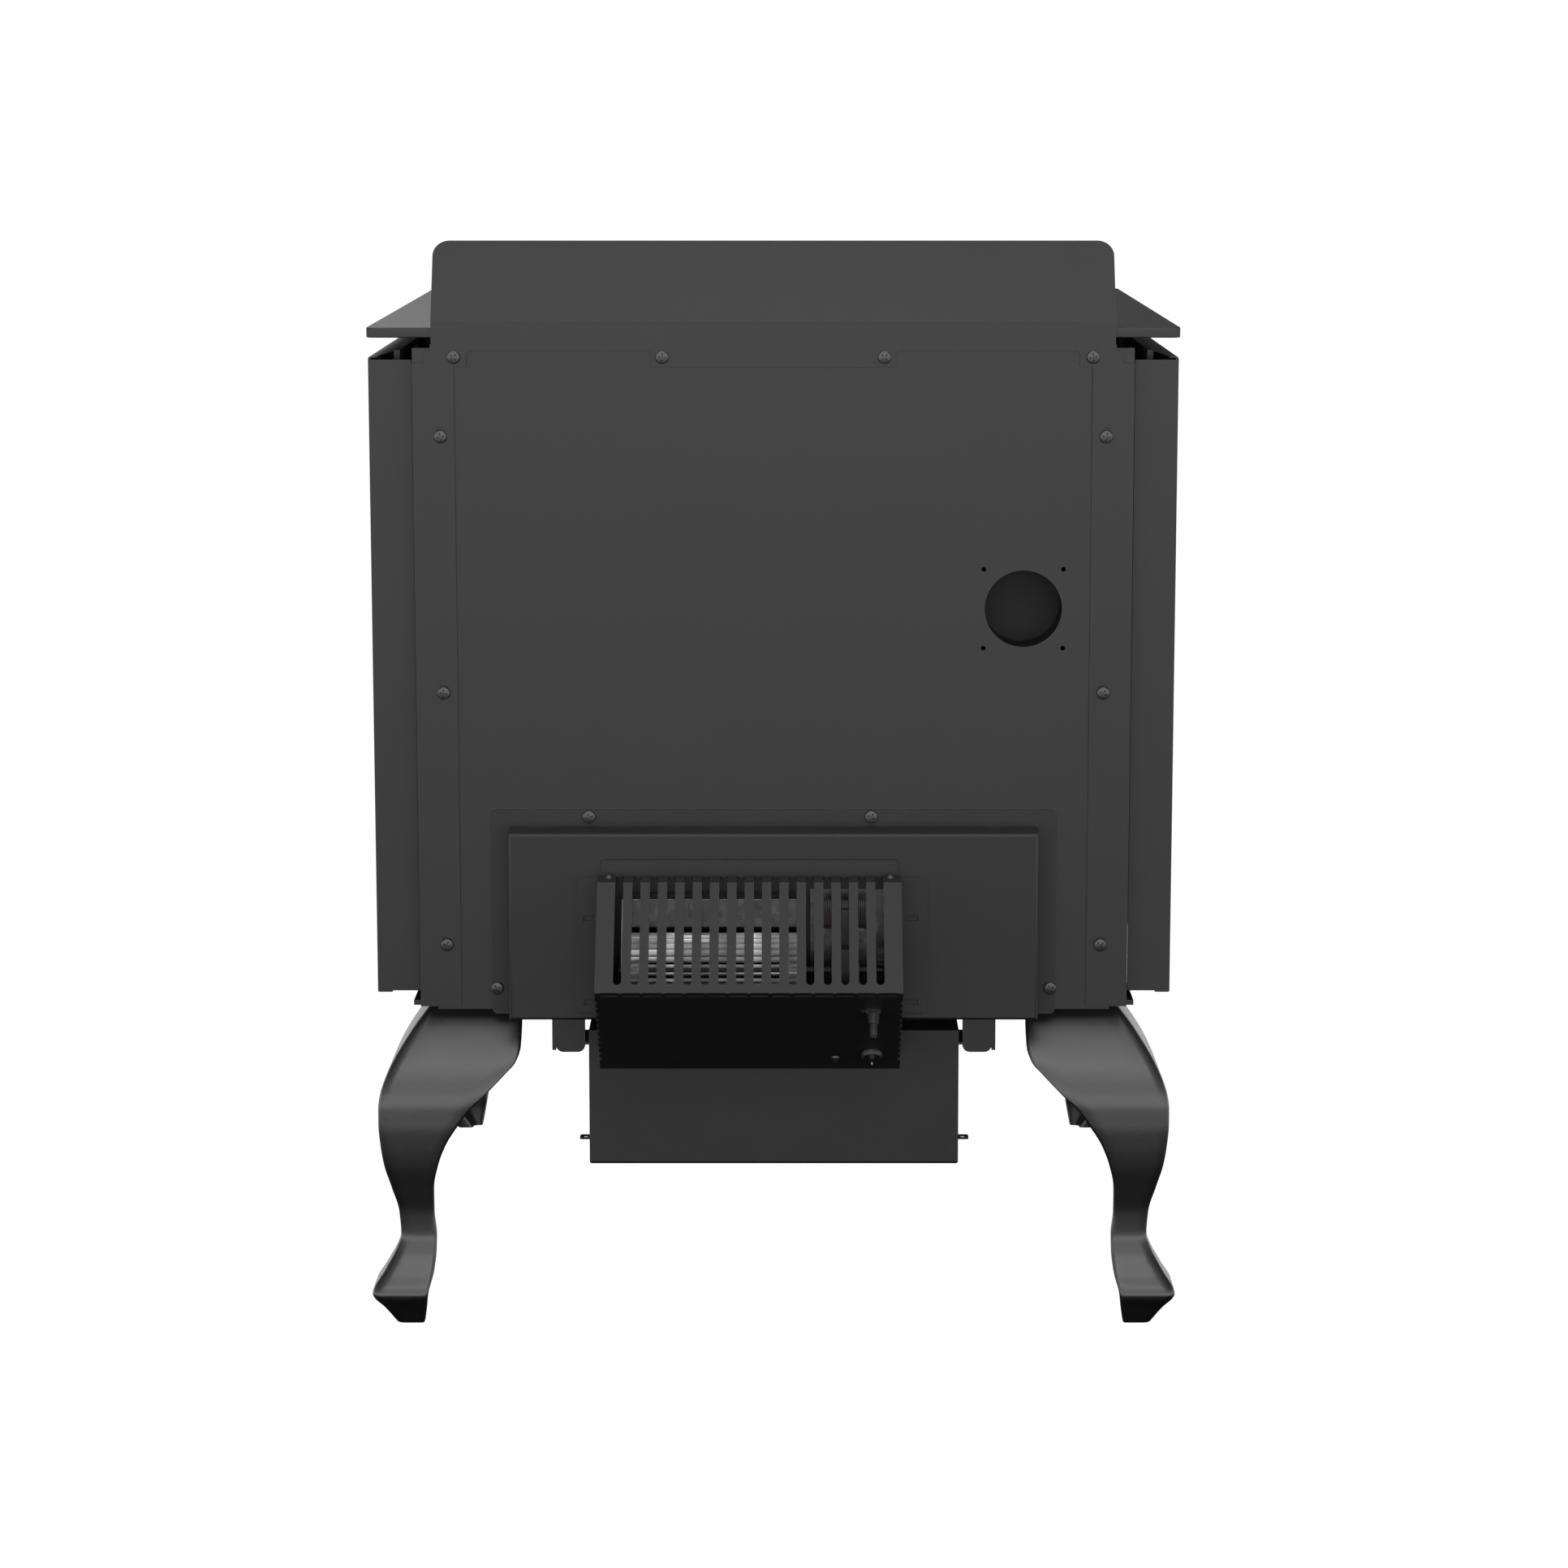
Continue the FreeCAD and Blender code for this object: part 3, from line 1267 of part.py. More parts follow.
def air_damper():
    z1 = base_height - clearance
    z0 = z1 - damper_thick
    plate = box(-damper_half, damper_half, inlet_y - damper_wide / 2, inlet_y + damper_wide / 2, z0, z1)
    window = box(inlet_half + 6, inlet_half + 34, inlet_y - inlet_wide / 2, inlet_y + inlet_wide / 2, z0 - 1, z1 + 1)
    step_low = z0 - lever_drop - damper_thick
    stem = box(-8, 8, inlet_y - 10, inlet_y + 10, step_low, z0)
    lever = box(-8, 8, lever_front(), inlet_y + 10, step_low, step_low + damper_thick)
    return fuse([plate.cut(window), stem, lever])


def lever_front():
    return plate_front - front_reach + knob_setback


def air_knob():
    z1 = base_height - clearance - damper_thick - lever_drop
    body = rod(9, V(0, lever_front(), z1 - damper_thick / 2), V(0, -1, 0), 20)
    ends = [e for e in body.Edges if e.Closed]
    return body.makeFillet(3, ends)


# ---- writing ----

save_list = {
    "base_plate": base_plate,
    "firebox_shell": firebox,
    "front_face": front_face,
    "top_plate": top_plate,
    "top_plate_spacers": plate_spacers,
    "flue_collar": flue_collar,
    "flue_collar_bolts": flue_bolts,
    "ash_lip": ash_lip,
    "side_panel_right": side_panel,
    "side_panel_left": lambda: mirror_x(side_panel()),
    "side_panel_hooks": panel_hooks,
    "rear_frame": rear_frame,
    "rear_panel": rear_panel,
    "rear_screws": rear_screws,
    "rear_channels": lambda: group([rear_channel(), mirror_x(rear_channel())]),
    "port_duct": port_duct,
    "air_box": air_box,
    "blower_mount_plate": mount_plate,
    "blower_cage": cage_with_holes,
    "cage_screws": cage_screws,
    "blower_scroll": scroll,
    "blower_wheel": wheel,
    "blower_shaft": blower_shaft,
    "motor_core": motor_core,
    "motor_coil": motor_coil,
    "motor_bracket": motor_bracket,
    "terminal_block": terminal_block,
    "speed_control": speed_control,
    "speed_knob": speed_knob,
    "strain_relief": strain_relief,
    "supply_cord_stub": cord_stub,
    "leg_front_left": leg,
    "leg_front_right": lambda: mirror_x(leg()),
    "leg_rear_left": lambda: mirror_y(leg(), body_mid),
    "leg_rear_right": lambda: mirror_x(mirror_y(leg(), body_mid)),
    "leg_bolts": leg_bolts,
    "ash_box": ash_box,
    "ash_box_hangers": ash_hangers,
    "ash_drawer": ash_drawer,
    "ash_drawer_front": drawer_front,
    "ash_plug": ash_plug,
    "floor_bricks": floor_bricks,
    "wall_bricks": wall_bricks,
    "side_air_channels": side_channels,
    "secondary_air_tubes": air_tubes,
    "baffle_boards": baffle_boards,
    "baffle_blanket": blanket,
    "door_frame": door_frame,
    "door_glass": door_glass,
    "glass_gasket": glass_gasket,
    "glass_clips": glass_clips,
    "door_gasket": door_gasket,
    "door_hinge_lugs": hinge_lugs,
    "door_hinge_pins": hinge_pins,
    "latch_keeper": latch_keeper,
    "door_handle_rod": handle_rod,
    "door_handle_grip": handle_grip,
    "air_damper": air_damper,
    "air_damper_knob": air_knob,
    "damper_guides": damper_guides,
}

os.makedirs("parts", exist_ok=True)
for node, make in save_list.items():
    save(node, make())
print(len(save_list), "nodes")
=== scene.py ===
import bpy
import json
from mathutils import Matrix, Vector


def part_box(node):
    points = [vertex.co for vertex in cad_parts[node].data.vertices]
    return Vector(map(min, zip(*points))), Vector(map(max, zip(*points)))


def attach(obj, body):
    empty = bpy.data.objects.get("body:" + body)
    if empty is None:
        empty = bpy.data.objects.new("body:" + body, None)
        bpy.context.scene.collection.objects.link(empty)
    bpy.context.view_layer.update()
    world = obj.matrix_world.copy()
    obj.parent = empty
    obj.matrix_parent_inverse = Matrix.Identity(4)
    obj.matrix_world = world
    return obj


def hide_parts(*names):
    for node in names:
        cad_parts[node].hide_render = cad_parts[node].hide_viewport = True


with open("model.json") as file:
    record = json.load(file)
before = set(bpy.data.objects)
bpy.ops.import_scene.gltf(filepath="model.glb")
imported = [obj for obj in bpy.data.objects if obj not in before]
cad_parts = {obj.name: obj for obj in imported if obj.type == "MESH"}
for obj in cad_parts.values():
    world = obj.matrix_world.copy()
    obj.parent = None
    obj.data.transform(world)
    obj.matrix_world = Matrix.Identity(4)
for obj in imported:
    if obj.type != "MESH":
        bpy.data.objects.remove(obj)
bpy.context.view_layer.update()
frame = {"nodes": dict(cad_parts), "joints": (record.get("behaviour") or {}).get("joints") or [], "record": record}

import json
import math

import bpy
import bmesh
import numpy as np
from mathutils import Matrix, Vector, noise

print("frame loaded:", len(frame["nodes"]), "pieces")


# Small helpers for node trees

def addNode(tree, kind, inputs=None, **settings):
    made = tree.nodes.new(kind)
    for key, value in settings.items():
        setattr(made, key, value)
    for key, value in (inputs or {}).items():
        made.inputs[key].default_value = value
    return made


def startGroup(name, inputs, outputs):
    tree = bpy.data.node_groups.new(name, "ShaderNodeTree")
    for label, start in inputs.items():
        socket = tree.interface.new_socket(label, in_out="INPUT", socket_type="NodeSocketFloat")
        socket.default_value = start
    for label in outputs:
        tree.interface.new_socket(label, in_out="OUTPUT", socket_type="NodeSocketFloat")
    return tree, tree.nodes.new("NodeGroupInput"), tree.nodes.new("NodeGroupOutput")


def mathNode(tree, operation, first, second=None, third=None):
    made = addNode(tree, "ShaderNodeMath", operation=operation)
    for slot, value in zip(made.inputs, (first, second, third)):
        if isinstance(value, bpy.types.NodeSocket):
            tree.links.new(value, slot)
        elif value is not None:
            slot.default_value = value
    return made.outputs[0]


def noiseAt(tree, place, scale, detail=2.0, rough=0.5):
    made = addNode(tree, "ShaderNodeTexNoise", {"Detail": detail, "Roughness": rough})
    tree.links.new(place, made.inputs["Vector"])
    if isinstance(scale, bpy.types.NodeSocket):
        tree.links.new(scale, made.inputs["Scale"])
    else:
        made.inputs["Scale"].default_value = scale
    return made.outputs["Fac"]


def stretched(tree, place, scale):
    made = addNode(tree, "ShaderNodeMapping", {"Scale": scale})
    tree.links.new(place, made.inputs["Vector"])
    return made.outputs["Vector"]


def cellsAt(tree, place, scale, **settings):
    made = addNode(tree, "ShaderNodeTexVoronoi", **settings)
    tree.links.new(place, made.inputs["Vector"])
    tree.links.new(scale, made.inputs["Scale"])
    return made


def weighed(tree, first, share, second):
    rest = mathNode(tree, "MULTIPLY", second, 1.0 - share)
    return mathNode(tree, "MULTIPLY_ADD", first, share, rest)


# Shared surface effects, in object space. Each one puts out Shade, Gloss and Height, about 0 to 1

def startSurface(name, inputs):
    tree, given, out = startGroup(name, inputs, ("Shade", "Gloss", "Height"))
    return tree, given.outputs, out, tree.nodes.new("ShaderNodeTexCoord").outputs["Object"]


def putOut(tree, out, shade, gloss, height):
    for label, source in (("Shade", shade), ("Gloss", gloss), ("Height", height)):
        tree.links.new(source, out.inputs[label])
    return tree


def sprayedPaint():
    tree, given, out, place = startSurface("sprayedPaint", {"Peel Scale": 1400.0, "Wave Scale": 5.0})
    peel = noiseAt(tree, place, given["Peel Scale"], 2.0)
    wave = noiseAt(tree, place, given["Wave Scale"], 1.0)
    cloud = noiseAt(tree, place, 26.0, 4.0, 0.6)
    height = mathNode(tree, "MULTIPLY", mathNode(tree, "MULTIPLY_ADD", wave, 24.0, peel), 0.04)
    return putOut(tree, out, cloud, weighed(tree, peel, 0.4, cloud), height)


def castSkin():
    tree, given, out, place = startSurface("castSkin", {"Grain Scale": 750.0, "Pit Scale": 260.0})
    grain = noiseAt(tree, place, given["Grain Scale"], 3.0, 0.6)
    pits = cellsAt(tree, place, given["Pit Scale"], feature="F1")
    pit = mathNode(tree, "SMOOTH_MIN", pits.outputs["Distance"], 0.35, 0.2)
    swell = noiseAt(tree, place, 38.0, 2.0)
    rough = mathNode(tree, "MULTIPLY_ADD", pit, 0.5, mathNode(tree, "MULTIPLY", swell, 1.6))
    height = mathNode(tree, "MULTIPLY_ADD", grain, 0.35, rough)
    cloud = noiseAt(tree, place, 17.0, 5.0, 0.65)
    return putOut(tree, out, cloud, grain, mathNode(tree, "MULTIPLY", height, 0.5))


def rolledMetal():
    tree, given, out, place = startSurface("rolledMetal", {"Line Scale": 1.0, "Stain Scale": 24.0})
    drawn = stretched(tree, place, (30.0, 1900.0, 1900.0))
    lines = noiseAt(tree, drawn, given["Line Scale"], 3.0, 0.6)
    stain = noiseAt(tree, place, given["Stain Scale"], 5.0, 0.62)
    return putOut(tree, out, weighed(tree, lines, 0.35, stain), weighed(tree, stain, 0.6, lines), lines)


def zincSpangle():
    tree, given, out, place = startSurface("zincSpangle", {"Spangle Scale": 190.0, "Grain Scale": 2200.0})
    flakes = cellsAt(tree, place, given["Spangle Scale"], feature="F1", distance="CHEBYCHEV")
    split = tree.nodes.new("ShaderNodeSeparateColor")
    tree.links.new(flakes.outputs["Color"], split.inputs["Color"])
    grain = noiseAt(tree, place, given["Grain Scale"], 2.0)
    return putOut(tree, out, split.outputs["Red"], split.outputs["Green"], grain)


def firedClay():
    tree, given, out, place = startSurface("firedClay", {"Grain Scale": 420.0, "Pit Scale": 150.0})
    grain = noiseAt(tree, place, given["Grain Scale"], 6.0, 0.7)
    pits = cellsAt(tree, place, given["Pit Scale"], feature="SMOOTH_F1")
    pit = mathNode(tree, "MINIMUM", mathNode(tree, "MULTIPLY", pits.outputs["Distance"], 2.4), 1.0)
    cloud = noiseAt(tree, place, 30.0, 5.0, 0.6)
    return putOut(tree, out, weighed(tree, grain, 0.4, cloud), grain, weighed(tree, pit, 0.6, grain))


def mineralFibre():
    tree, given, out, place = startSurface("mineralFibre", {"Strand Scale": 1.0, "Clump Scale": 120.0})
    crossed = {"Scale": (2600.0, 240.0, 700.0), "Rotation": (0.0, 0.0, 0.7)}
    turnedPlace = addNode(tree, "ShaderNodeMapping", crossed)
    tree.links.new(place, turnedPlace.inputs["Vector"])
    straight = stretched(tree, place, (240.0, 2600.0, 700.0))
    along = noiseAt(tree, straight, given["Strand Scale"], 3.0, 0.6)
    across = noiseAt(tree, turnedPlace.outputs["Vector"], given["Strand Scale"], 3.0, 0.6)
    strands = mathNode(tree, "MAXIMUM", along, across)
    clump = noiseAt(tree, place, given["Clump Scale"], 4.0, 0.6)
    return putOut(tree, out, weighed(tree, strands, 0.5, clump), clump, weighed(tree, clump, 0.6, strands))


def woodRings():
    tree, given, out, place = startSurface("woodRings", {"Ring Scale": 210.0, "Pore Scale": 1.0})
    wobble = addNode(tree, "ShaderNodeTexNoise", {"Scale": 22.0})
    tree.links.new(place, wobble.inputs["Vector"])
    bent = addNode(tree, "ShaderNodeVectorMath", {1: (0.012, 0.012, 0.05)}, operation="MULTIPLY_ADD")
    tree.links.new(wobble.outputs["Color"], bent.inputs[0])
    tree.links.new(place, bent.inputs[2])
    bands = {"Distortion": 1.6, "Detail": 2.0}
    rings = addNode(tree, "ShaderNodeTexWave", bands, wave_type="BANDS", bands_direction="X")
    tree.links.new(bent.outputs[0], rings.inputs["Vector"])
    tree.links.new(given["Ring Scale"], rings.inputs["Scale"])
    pores = noiseAt(tree, stretched(tree, place, (2400.0, 2400.0, 90.0)), given["Pore Scale"], 3.0, 0.6)
    return putOut(tree, out, weighed(tree, rings.outputs["Fac"], 0.6, pores), pores, pores)


def mouldedSkin():
    tree, given, out, place = startSurface("mouldedSkin", {"Grain Scale": 2600.0, "Flow Scale": 60.0})
    grain = noiseAt(tree, place, given["Grain Scale"], 2.0)
    flow = noiseAt(tree, place, given["Flow Scale"], 3.0)
    return putOut(tree, out, flow, weighed(tree, grain, 0.5, flow), grain)


def edgeWear():
    # the rounded normal turns away from the flat one near an edge; noise breaks the line up
    inputs = {"Radius": 0.0012, "Patch Scale": 90.0, "Amount": 0.6}
    tree, given, out = startGroup("edgeWear", inputs, ("Mask",))
    place = tree.nodes.new("ShaderNodeTexCoord").outputs["Object"]
    rounded = addNode(tree, "ShaderNodeBevel", samples=4)
    tree.links.new(given.outputs["Radius"], rounded.inputs["Radius"])
    flat = tree.nodes.new("ShaderNodeNewGeometry")
    facing = addNode(tree, "ShaderNodeVectorMath", operation="DOT_PRODUCT")
    tree.links.new(rounded.outputs["Normal"], facing.inputs[0])
    tree.links.new(flat.outputs["Normal"], facing.inputs[1])
    edge = mathNode(tree, "MULTIPLY", mathNode(tree, "SUBTRACT", 1.0, facing.outputs["Value"]), 7.0)
    patch = addNode(tree, "ShaderNodeMapRange", {"From Min": 0.42, "From Max": 0.62})
    patches = noiseAt(tree, place, given.outputs["Patch Scale"], 5.0, 0.65)
    tree.links.new(patches, patch.inputs["Value"])
    broken = mathNode(tree, "MULTIPLY", mathNode(tree, "MINIMUM", edge, 1.0), patch.outputs["Result"])
    tree.links.new(mathNode(tree, "MULTIPLY", broken, given.outputs["Amount"]), out.inputs["Mask"])
    return tree


def settledDust():
    tree, given, out = startGroup("settledDust", {"Amount": 0.15, "Cloud Scale": 40.0}, ("Mask",))
    place = tree.nodes.new("ShaderNodeTexCoord").outputs["Object"]
    shape = tree.nodes.new("ShaderNodeNewGeometry")
    split = tree.nodes.new("ShaderNodeSeparateXYZ")
    tree.links.new(shape.outputs["Normal"], split.inputs["Vector"])
    upward = addNode(tree, "ShaderNodeMapRange", {"From Min": 0.6, "From Max": 1.0})
    tree.links.new(split.outputs["Z"], upward.inputs["Value"])
    cloud = noiseAt(tree, place, given.outputs["Cloud Scale"], 6.0, 0.7)
    thin = mathNode(tree, "MULTIPLY", upward.outputs["Result"], cloud)
    tree.links.new(mathNode(tree, "MULTIPLY", thin, given.outputs["Amount"]), out.inputs["Mask"])
    return tree


surfaceGroups = {
    "sprayedPaint": sprayedPaint(),
    "castSkin": castSkin(),
    "rolledMetal": rolledMetal(),
    "zincSpangle": zincSpangle(),
    "firedClay": firedClay(),
    "mineralFibre": mineralFibre(),
    "woodRings": woodRings(),
    "mouldedSkin": mouldedSkin(),
}
wearGroup = edgeWear()
dustGroup = settledDust()


def placeGroup(tree, group, values):
    made = addNode(tree, "ShaderNodeGroup", node_tree=group)
    for key, value in values.items():
        made.inputs[key].default_value = value
    return made


def blendColour(tree, amount, first, second):
    made = addNode(tree, "ShaderNodeMix", data_type="RGBA")
    tree.links.new(amount, made.inputs[0])        # sockets 6 and 7 are the colours A and B
    for slot, value in ((made.inputs[6], first), (made.inputs[7], second)):
        if isinstance(value, bpy.types.NodeSocket):
            tree.links.new(value, slot)
        else:
            slot.default_value = (*value, 1.0)
    return made.outputs[2]


dustColour = (0.32, 0.30, 0.27)


def makeFinish(name, look):
    material = bpy.data.materials.new(name)
    material.use_nodes = True
    tree = material.node_tree
    shader = tree.nodes["Principled BSDF"]
    surface = placeGroup(tree, surfaceGroups[look["surface"]], look.get("scales", {}))
    colour = blendColour(tree, surface.outputs["Shade"], look["dark"], look["light"])
    if "edge" in look:
        wear = placeGroup(tree, wearGroup, look.get("wear", {}))
        colour = blendColour(tree, wear.outputs["Mask"], colour, look["edge"])
    if "dust" in look:
        dust = placeGroup(tree, dustGroup, {"Amount": look["dust"]})
        colour = blendColour(tree, dust.outputs["Mask"], colour, dustColour)
    tree.links.new(colour, shader.inputs["Base Color"])
    smoothest, roughest = look["roughness"]
    gloss = addNode(tree, "ShaderNodeMapRange", {"To Min": smoothest, "To Max": roughest})
    tree.links.new(surface.outputs["Gloss"], gloss.inputs["Value"])
    tree.links.new(gloss.outputs["Result"], shader.inputs["Roughness"])
    bump = addNode(tree, "ShaderNodeBump", {"Strength": 1.0, "Distance": look["bump"]})
    tree.links.new(surface.outputs["Height"], bump.inputs["Height"])
    tree.links.new(bump.outputs["Normal"], shader.inputs["Normal"])
    for socket, value in look.get("shader", {}).items():
        shader.inputs[socket].default_value = value
    return material


finishLooks = {
    "black_paint": {
        "surface": "sprayedPaint", "dark": (0.0062, 0.0062, 0.0065), "light": (0.0102, 0.0102, 0.0104),
        "edge": (0.055, 0.054, 0.052), "wear": {"Radius": 0.0009, "Amount": 0.35}, "dust": 0.05,
        "roughness": (0.36, 0.46), "bump": 0.0006, "shader": {"Specular IOR Level": 0.5}},
    "cast_iron": {
        "surface": "castSkin", "dark": (0.0022, 0.0022, 0.0023), "light": (0.0048, 0.0048, 0.0049),
        "edge": (0.06, 0.058, 0.055), "wear": {"Radius": 0.0016, "Amount": 0.4}, "dust": 0.05,
        "roughness": (0.34, 0.46), "bump": 0.00022,
        "shader": {"Specular IOR Level": 0.9, "Coat Weight": 0.25, "Coat Roughness": 0.36}},
    "black_screws": {
        "surface": "mouldedSkin", "dark": (0.007, 0.007, 0.0074), "light": (0.012, 0.012, 0.0123),
        "edge": (0.16, 0.155, 0.15), "wear": {"Radius": 0.0004, "Amount": 0.5},
        "roughness": (0.26, 0.36), "bump": 0.00001, "shader": {"Specular IOR Level": 0.8}},
    "paint_in_painted_shade": {                    # the same paint with less shine: painted shade that darkens these parts
        "surface": "sprayedPaint", "dark": (0.0062, 0.0062, 0.0065), "light": (0.0102, 0.0102, 0.0104),
        "edge": (0.055, 0.054, 0.052), "wear": {"Radius": 0.0009, "Amount": 0.35}, "dust": 0.05,
        "roughness": (0.38, 0.48), "bump": 0.0006, "shader": {"Specular IOR Level": 0.42}},
    # a darker, less shiny copy of the paint: painted shade for the inner shell and duct seen through the gaps and
    # the port
    "paint_in_deeper_painted_shade": {
        "surface": "sprayedPaint", "dark": (0.0040, 0.0040, 0.0042), "light": (0.0066, 0.0066, 0.0068),
        "roughness": (0.42, 0.55), "bump": 0.0006, "shader": {"Specular IOR Level": 0.22}},
    "core_steel": {
        "surface": "rolledMetal", "dark": (0.020, 0.020, 0.022), "light": (0.050, 0.050, 0.052),
        "edge": (0.12, 0.12, 0.12), "wear": {"Radius": 0.0005, "Amount": 0.4},
        "roughness": (0.4, 0.55), "bump": 0.00002, "shader": {"Metallic": 0.8}},
    "bare_steel": {
        "surface": "rolledMetal", "dark": (0.18, 0.18, 0.185), "light": (0.42, 0.415, 0.41),
        "edge": (0.6, 0.6, 0.6), "wear": {"Radius": 0.0005, "Amount": 0.4},
        "roughness": (0.3, 0.5), "bump": 0.00002, "shader": {"Metallic": 1.0}},
    "zinc_sheet": {
        "surface": "zincSpangle", "dark": (0.10, 0.10, 0.105), "light": (0.17, 0.17, 0.175),
        "edge": (0.35, 0.35, 0.35), "wear": {"Radius": 0.0005, "Amount": 0.3},
        "roughness": (0.28, 0.46), "bump": 0.00001, "shader": {"Metallic": 1.0}},
    "bright_aluminium": {
        "surface": "mouldedSkin", "dark": (0.93, 0.93, 0.94), "light": (0.98, 0.98, 0.98),
        "roughness": (0.24, 0.32), "bump": 0.000002, "shader": {"Metallic": 0.1, "Coat Weight": 1.0}},
    "firebrick": {
        "surface": "firedClay", "dark": (0.46, 0.34, 0.21), "light": (0.72, 0.58, 0.40),
        "edge": (0.80, 0.68, 0.50), "wear": {"Radius": 0.002, "Amount": 0.7},
        "roughness": (0.82, 0.96), "bump": 0.0006, "shader": {"Specular IOR Level": 0.2}},
    "fibre_board": {
        "surface": "mineralFibre", "dark": (0.62, 0.57, 0.46), "light": (0.84, 0.79, 0.68),
        "roughness": (0.88, 0.97), "bump": 0.0004, "shader": {"Specular IOR Level": 0.2}},
    "fibre_rope": {
        "surface": "mineralFibre", "dark": (0.30, 0.29, 0.27), "light": (0.62, 0.60, 0.56),
        "roughness": (0.85, 0.96), "bump": 0.0003, "shader": {"Specular IOR Level": 0.2}},
    "turned_wood": {
        "surface": "woodRings", "dark": (0.13, 0.055, 0.022), "light": (0.38, 0.19, 0.085),
        "roughness": (0.26, 0.42), "bump": 0.00005, "shader": {"Coat Weight": 0.35, "Coat Roughness": 0.15}},
    "black_plastic": {
        "surface": "mouldedSkin", "dark": (0.009, 0.009, 0.009), "light": (0.015, 0.015, 0.015),
        "edge": (0.05, 0.05, 0.05), "wear": {"Radius": 0.0005, "Amount": 0.3},
        "roughness": (0.32, 0.46), "bump": 0.00002},
    "cord_rubber": {
        "surface": "mouldedSkin", "dark": (0.007, 0.007, 0.007), "light": (0.013, 0.013, 0.013),
        "roughness": (0.45, 0.6), "bump": 0.00003},
    "coil_lacquer": {
        "surface": "mineralFibre", "dark": (0.030, 0.026, 0.022), "light": (0.058, 0.050, 0.042),
        "roughness": (0.35, 0.55), "bump": 0.00005, "shader": {"Coat Weight": 0.3}},
}
finishes = {name: makeFinish(name, look) for name, look in finishLooks.items()}


glassLook = {"tint": (0.93, 0.92, 0.88), "haze": (0.02, 0.12), "soot": (0.06, 0.05, 0.04)}


def makeGlass(look):
    # ceramic glass, clear in the middle with a faint smoke film that thickens in patches
    material = bpy.data.materials.new("clear_glass")
    material.use_nodes = True
    tree = material.node_tree
    shader = tree.nodes["Principled BSDF"]
    film = placeGroup(tree, surfaceGroups["firedClay"], {"Grain Scale": 60.0, "Pit Scale": 30.0})
    thin = addNode(tree, "ShaderNodeMapRange", {"From Min": 0.45, "From Max": 0.8, "To Max": 0.18})
    tree.links.new(film.outputs["Shade"], thin.inputs["Value"])
    colour = blendColour(tree, thin.outputs["Result"], look["tint"], look["soot"])
    tree.links.new(colour, shader.inputs["Base Color"])
    haze = addNode(tree, "ShaderNodeMapRange", {"To Min": look["haze"][0], "To Max": look["haze"][1]})
    tree.links.new(film.outputs["Gloss"], haze.inputs["Value"])
    tree.links.new(haze.outputs["Result"], shader.inputs["Roughness"])
    shader.inputs["Transmission Weight"].default_value = 1.0
    shader.inputs["IOR"].default_value = 1.5
    return material


finishes["clear_glass"] = makeGlass(glassLook)
tinnedLook = {
    "surface": "rolledMetal", "dark": (0.20, 0.18, 0.16), "light": (0.34, 0.31, 0.28),
    "roughness": (0.25, 0.4), "bump": 0.00001, "shader": {"Metallic": 1.0}}
finishes["tinned"] = makeFinish("tinnedWire", tinnedLook)
markLook = {
    "surface": "mouldedSkin", "dark": (0.62, 0.62, 0.60), "light": (0.74, 0.74, 0.72),
    "roughness": (0.4, 0.5), "bump": 0.00001}
finishes["mark"] = makeFinish("pointerWhite", markLook)
print("finishes made:", len(finishes))


# Mesh helpers

def pieceFrom(name, points, faces, finish, body, stands=()):
    mesh = bpy.data.meshes.new(name)
    mesh.from_pydata([tuple(p) for p in points], [], [tuple(f) for f in faces])
    mesh.validate()
    shape = bmesh.new()
    shape.from_mesh(mesh)
    bmesh.ops.recalc_face_normals(shape, faces=shape.faces)
    shape.to_mesh(mesh)
    shape.free()
    mesh.shade_smooth()
    mesh.materials.append(finishes[finish])
    piece = bpy.data.objects.new(name, mesh)
    bpy.context.scene.collection.objects.link(piece)
    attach(piece, body)
    if stands:
        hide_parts(*stands)
    return piece


def sharpenEdges(piece, degrees):
    piece.data.set_sharp_from_angle(angle=math.radians(degrees))


def ringFaces(rows, columns, closedRows=False):
    faces = []
    for i in range(rows if closedRows else rows - 1):
        for j in range(columns):
            a = i * columns + j
            b = i * columns + (j + 1) % columns
            c = ((i + 1) % rows) * columns + (j + 1) % columns
            d = ((i + 1) % rows) * columns + j
            faces.append((a, b, c, d))
    return faces


def cappedFaces(rows, columns):
    # a stack of rings with both ends closed
    ends = [tuple(reversed(range(columns))), tuple(range((rows - 1) * columns, rows * columns))]
    return ringFaces(rows, columns) + ends


def shiftedFaces(faces, first):
    return [tuple(first + i for i in face) for face in faces]


def turned(profile, steps, start, axis, ripple=None):
    # profile is (radius, distance along the axis); ripple(angle, distance, radius) may change a radius
    axis = Vector(axis).normalized()
    side = axis.orthogonal().normalized()
    other = axis.cross(side)
    points = []
    for radius, along in profile:
        for k in range(steps):
            angle = 2 * math.pi * k / steps
            reach = ripple(angle, along, radius) if ripple else radius
            spoke = side * math.cos(angle) + other * math.sin(angle)
            points.append(Vector(start) + axis * along + spoke * reach)
    faces = ringFaces(len(profile), steps)
    faces.append(tuple(range(steps)))
    faces.append(tuple(reversed(range((len(profile) - 1) * steps, len(profile) * steps))))
    return points, faces


def swept(path, radiusAt, steps, up):
    # closed tube along a closed path; radiusAt(angle, distance) gives its radius
    count = len(path)
    points = []
    distance = 0.0
    for i, place in enumerate(path):
        ahead = (path[(i + 1) % count] - path[i - 1]).normalized()
        side = ahead.cross(up).normalized()
        for k in range(steps):
            angle = 2 * math.pi * k / steps
            points.append(place + (side * math.cos(angle) + up * math.sin(angle)) * radiusAt(angle, distance))
        distance += (path[(i + 1) % count] - place).length
    return points, ringFaces(count, steps, True)


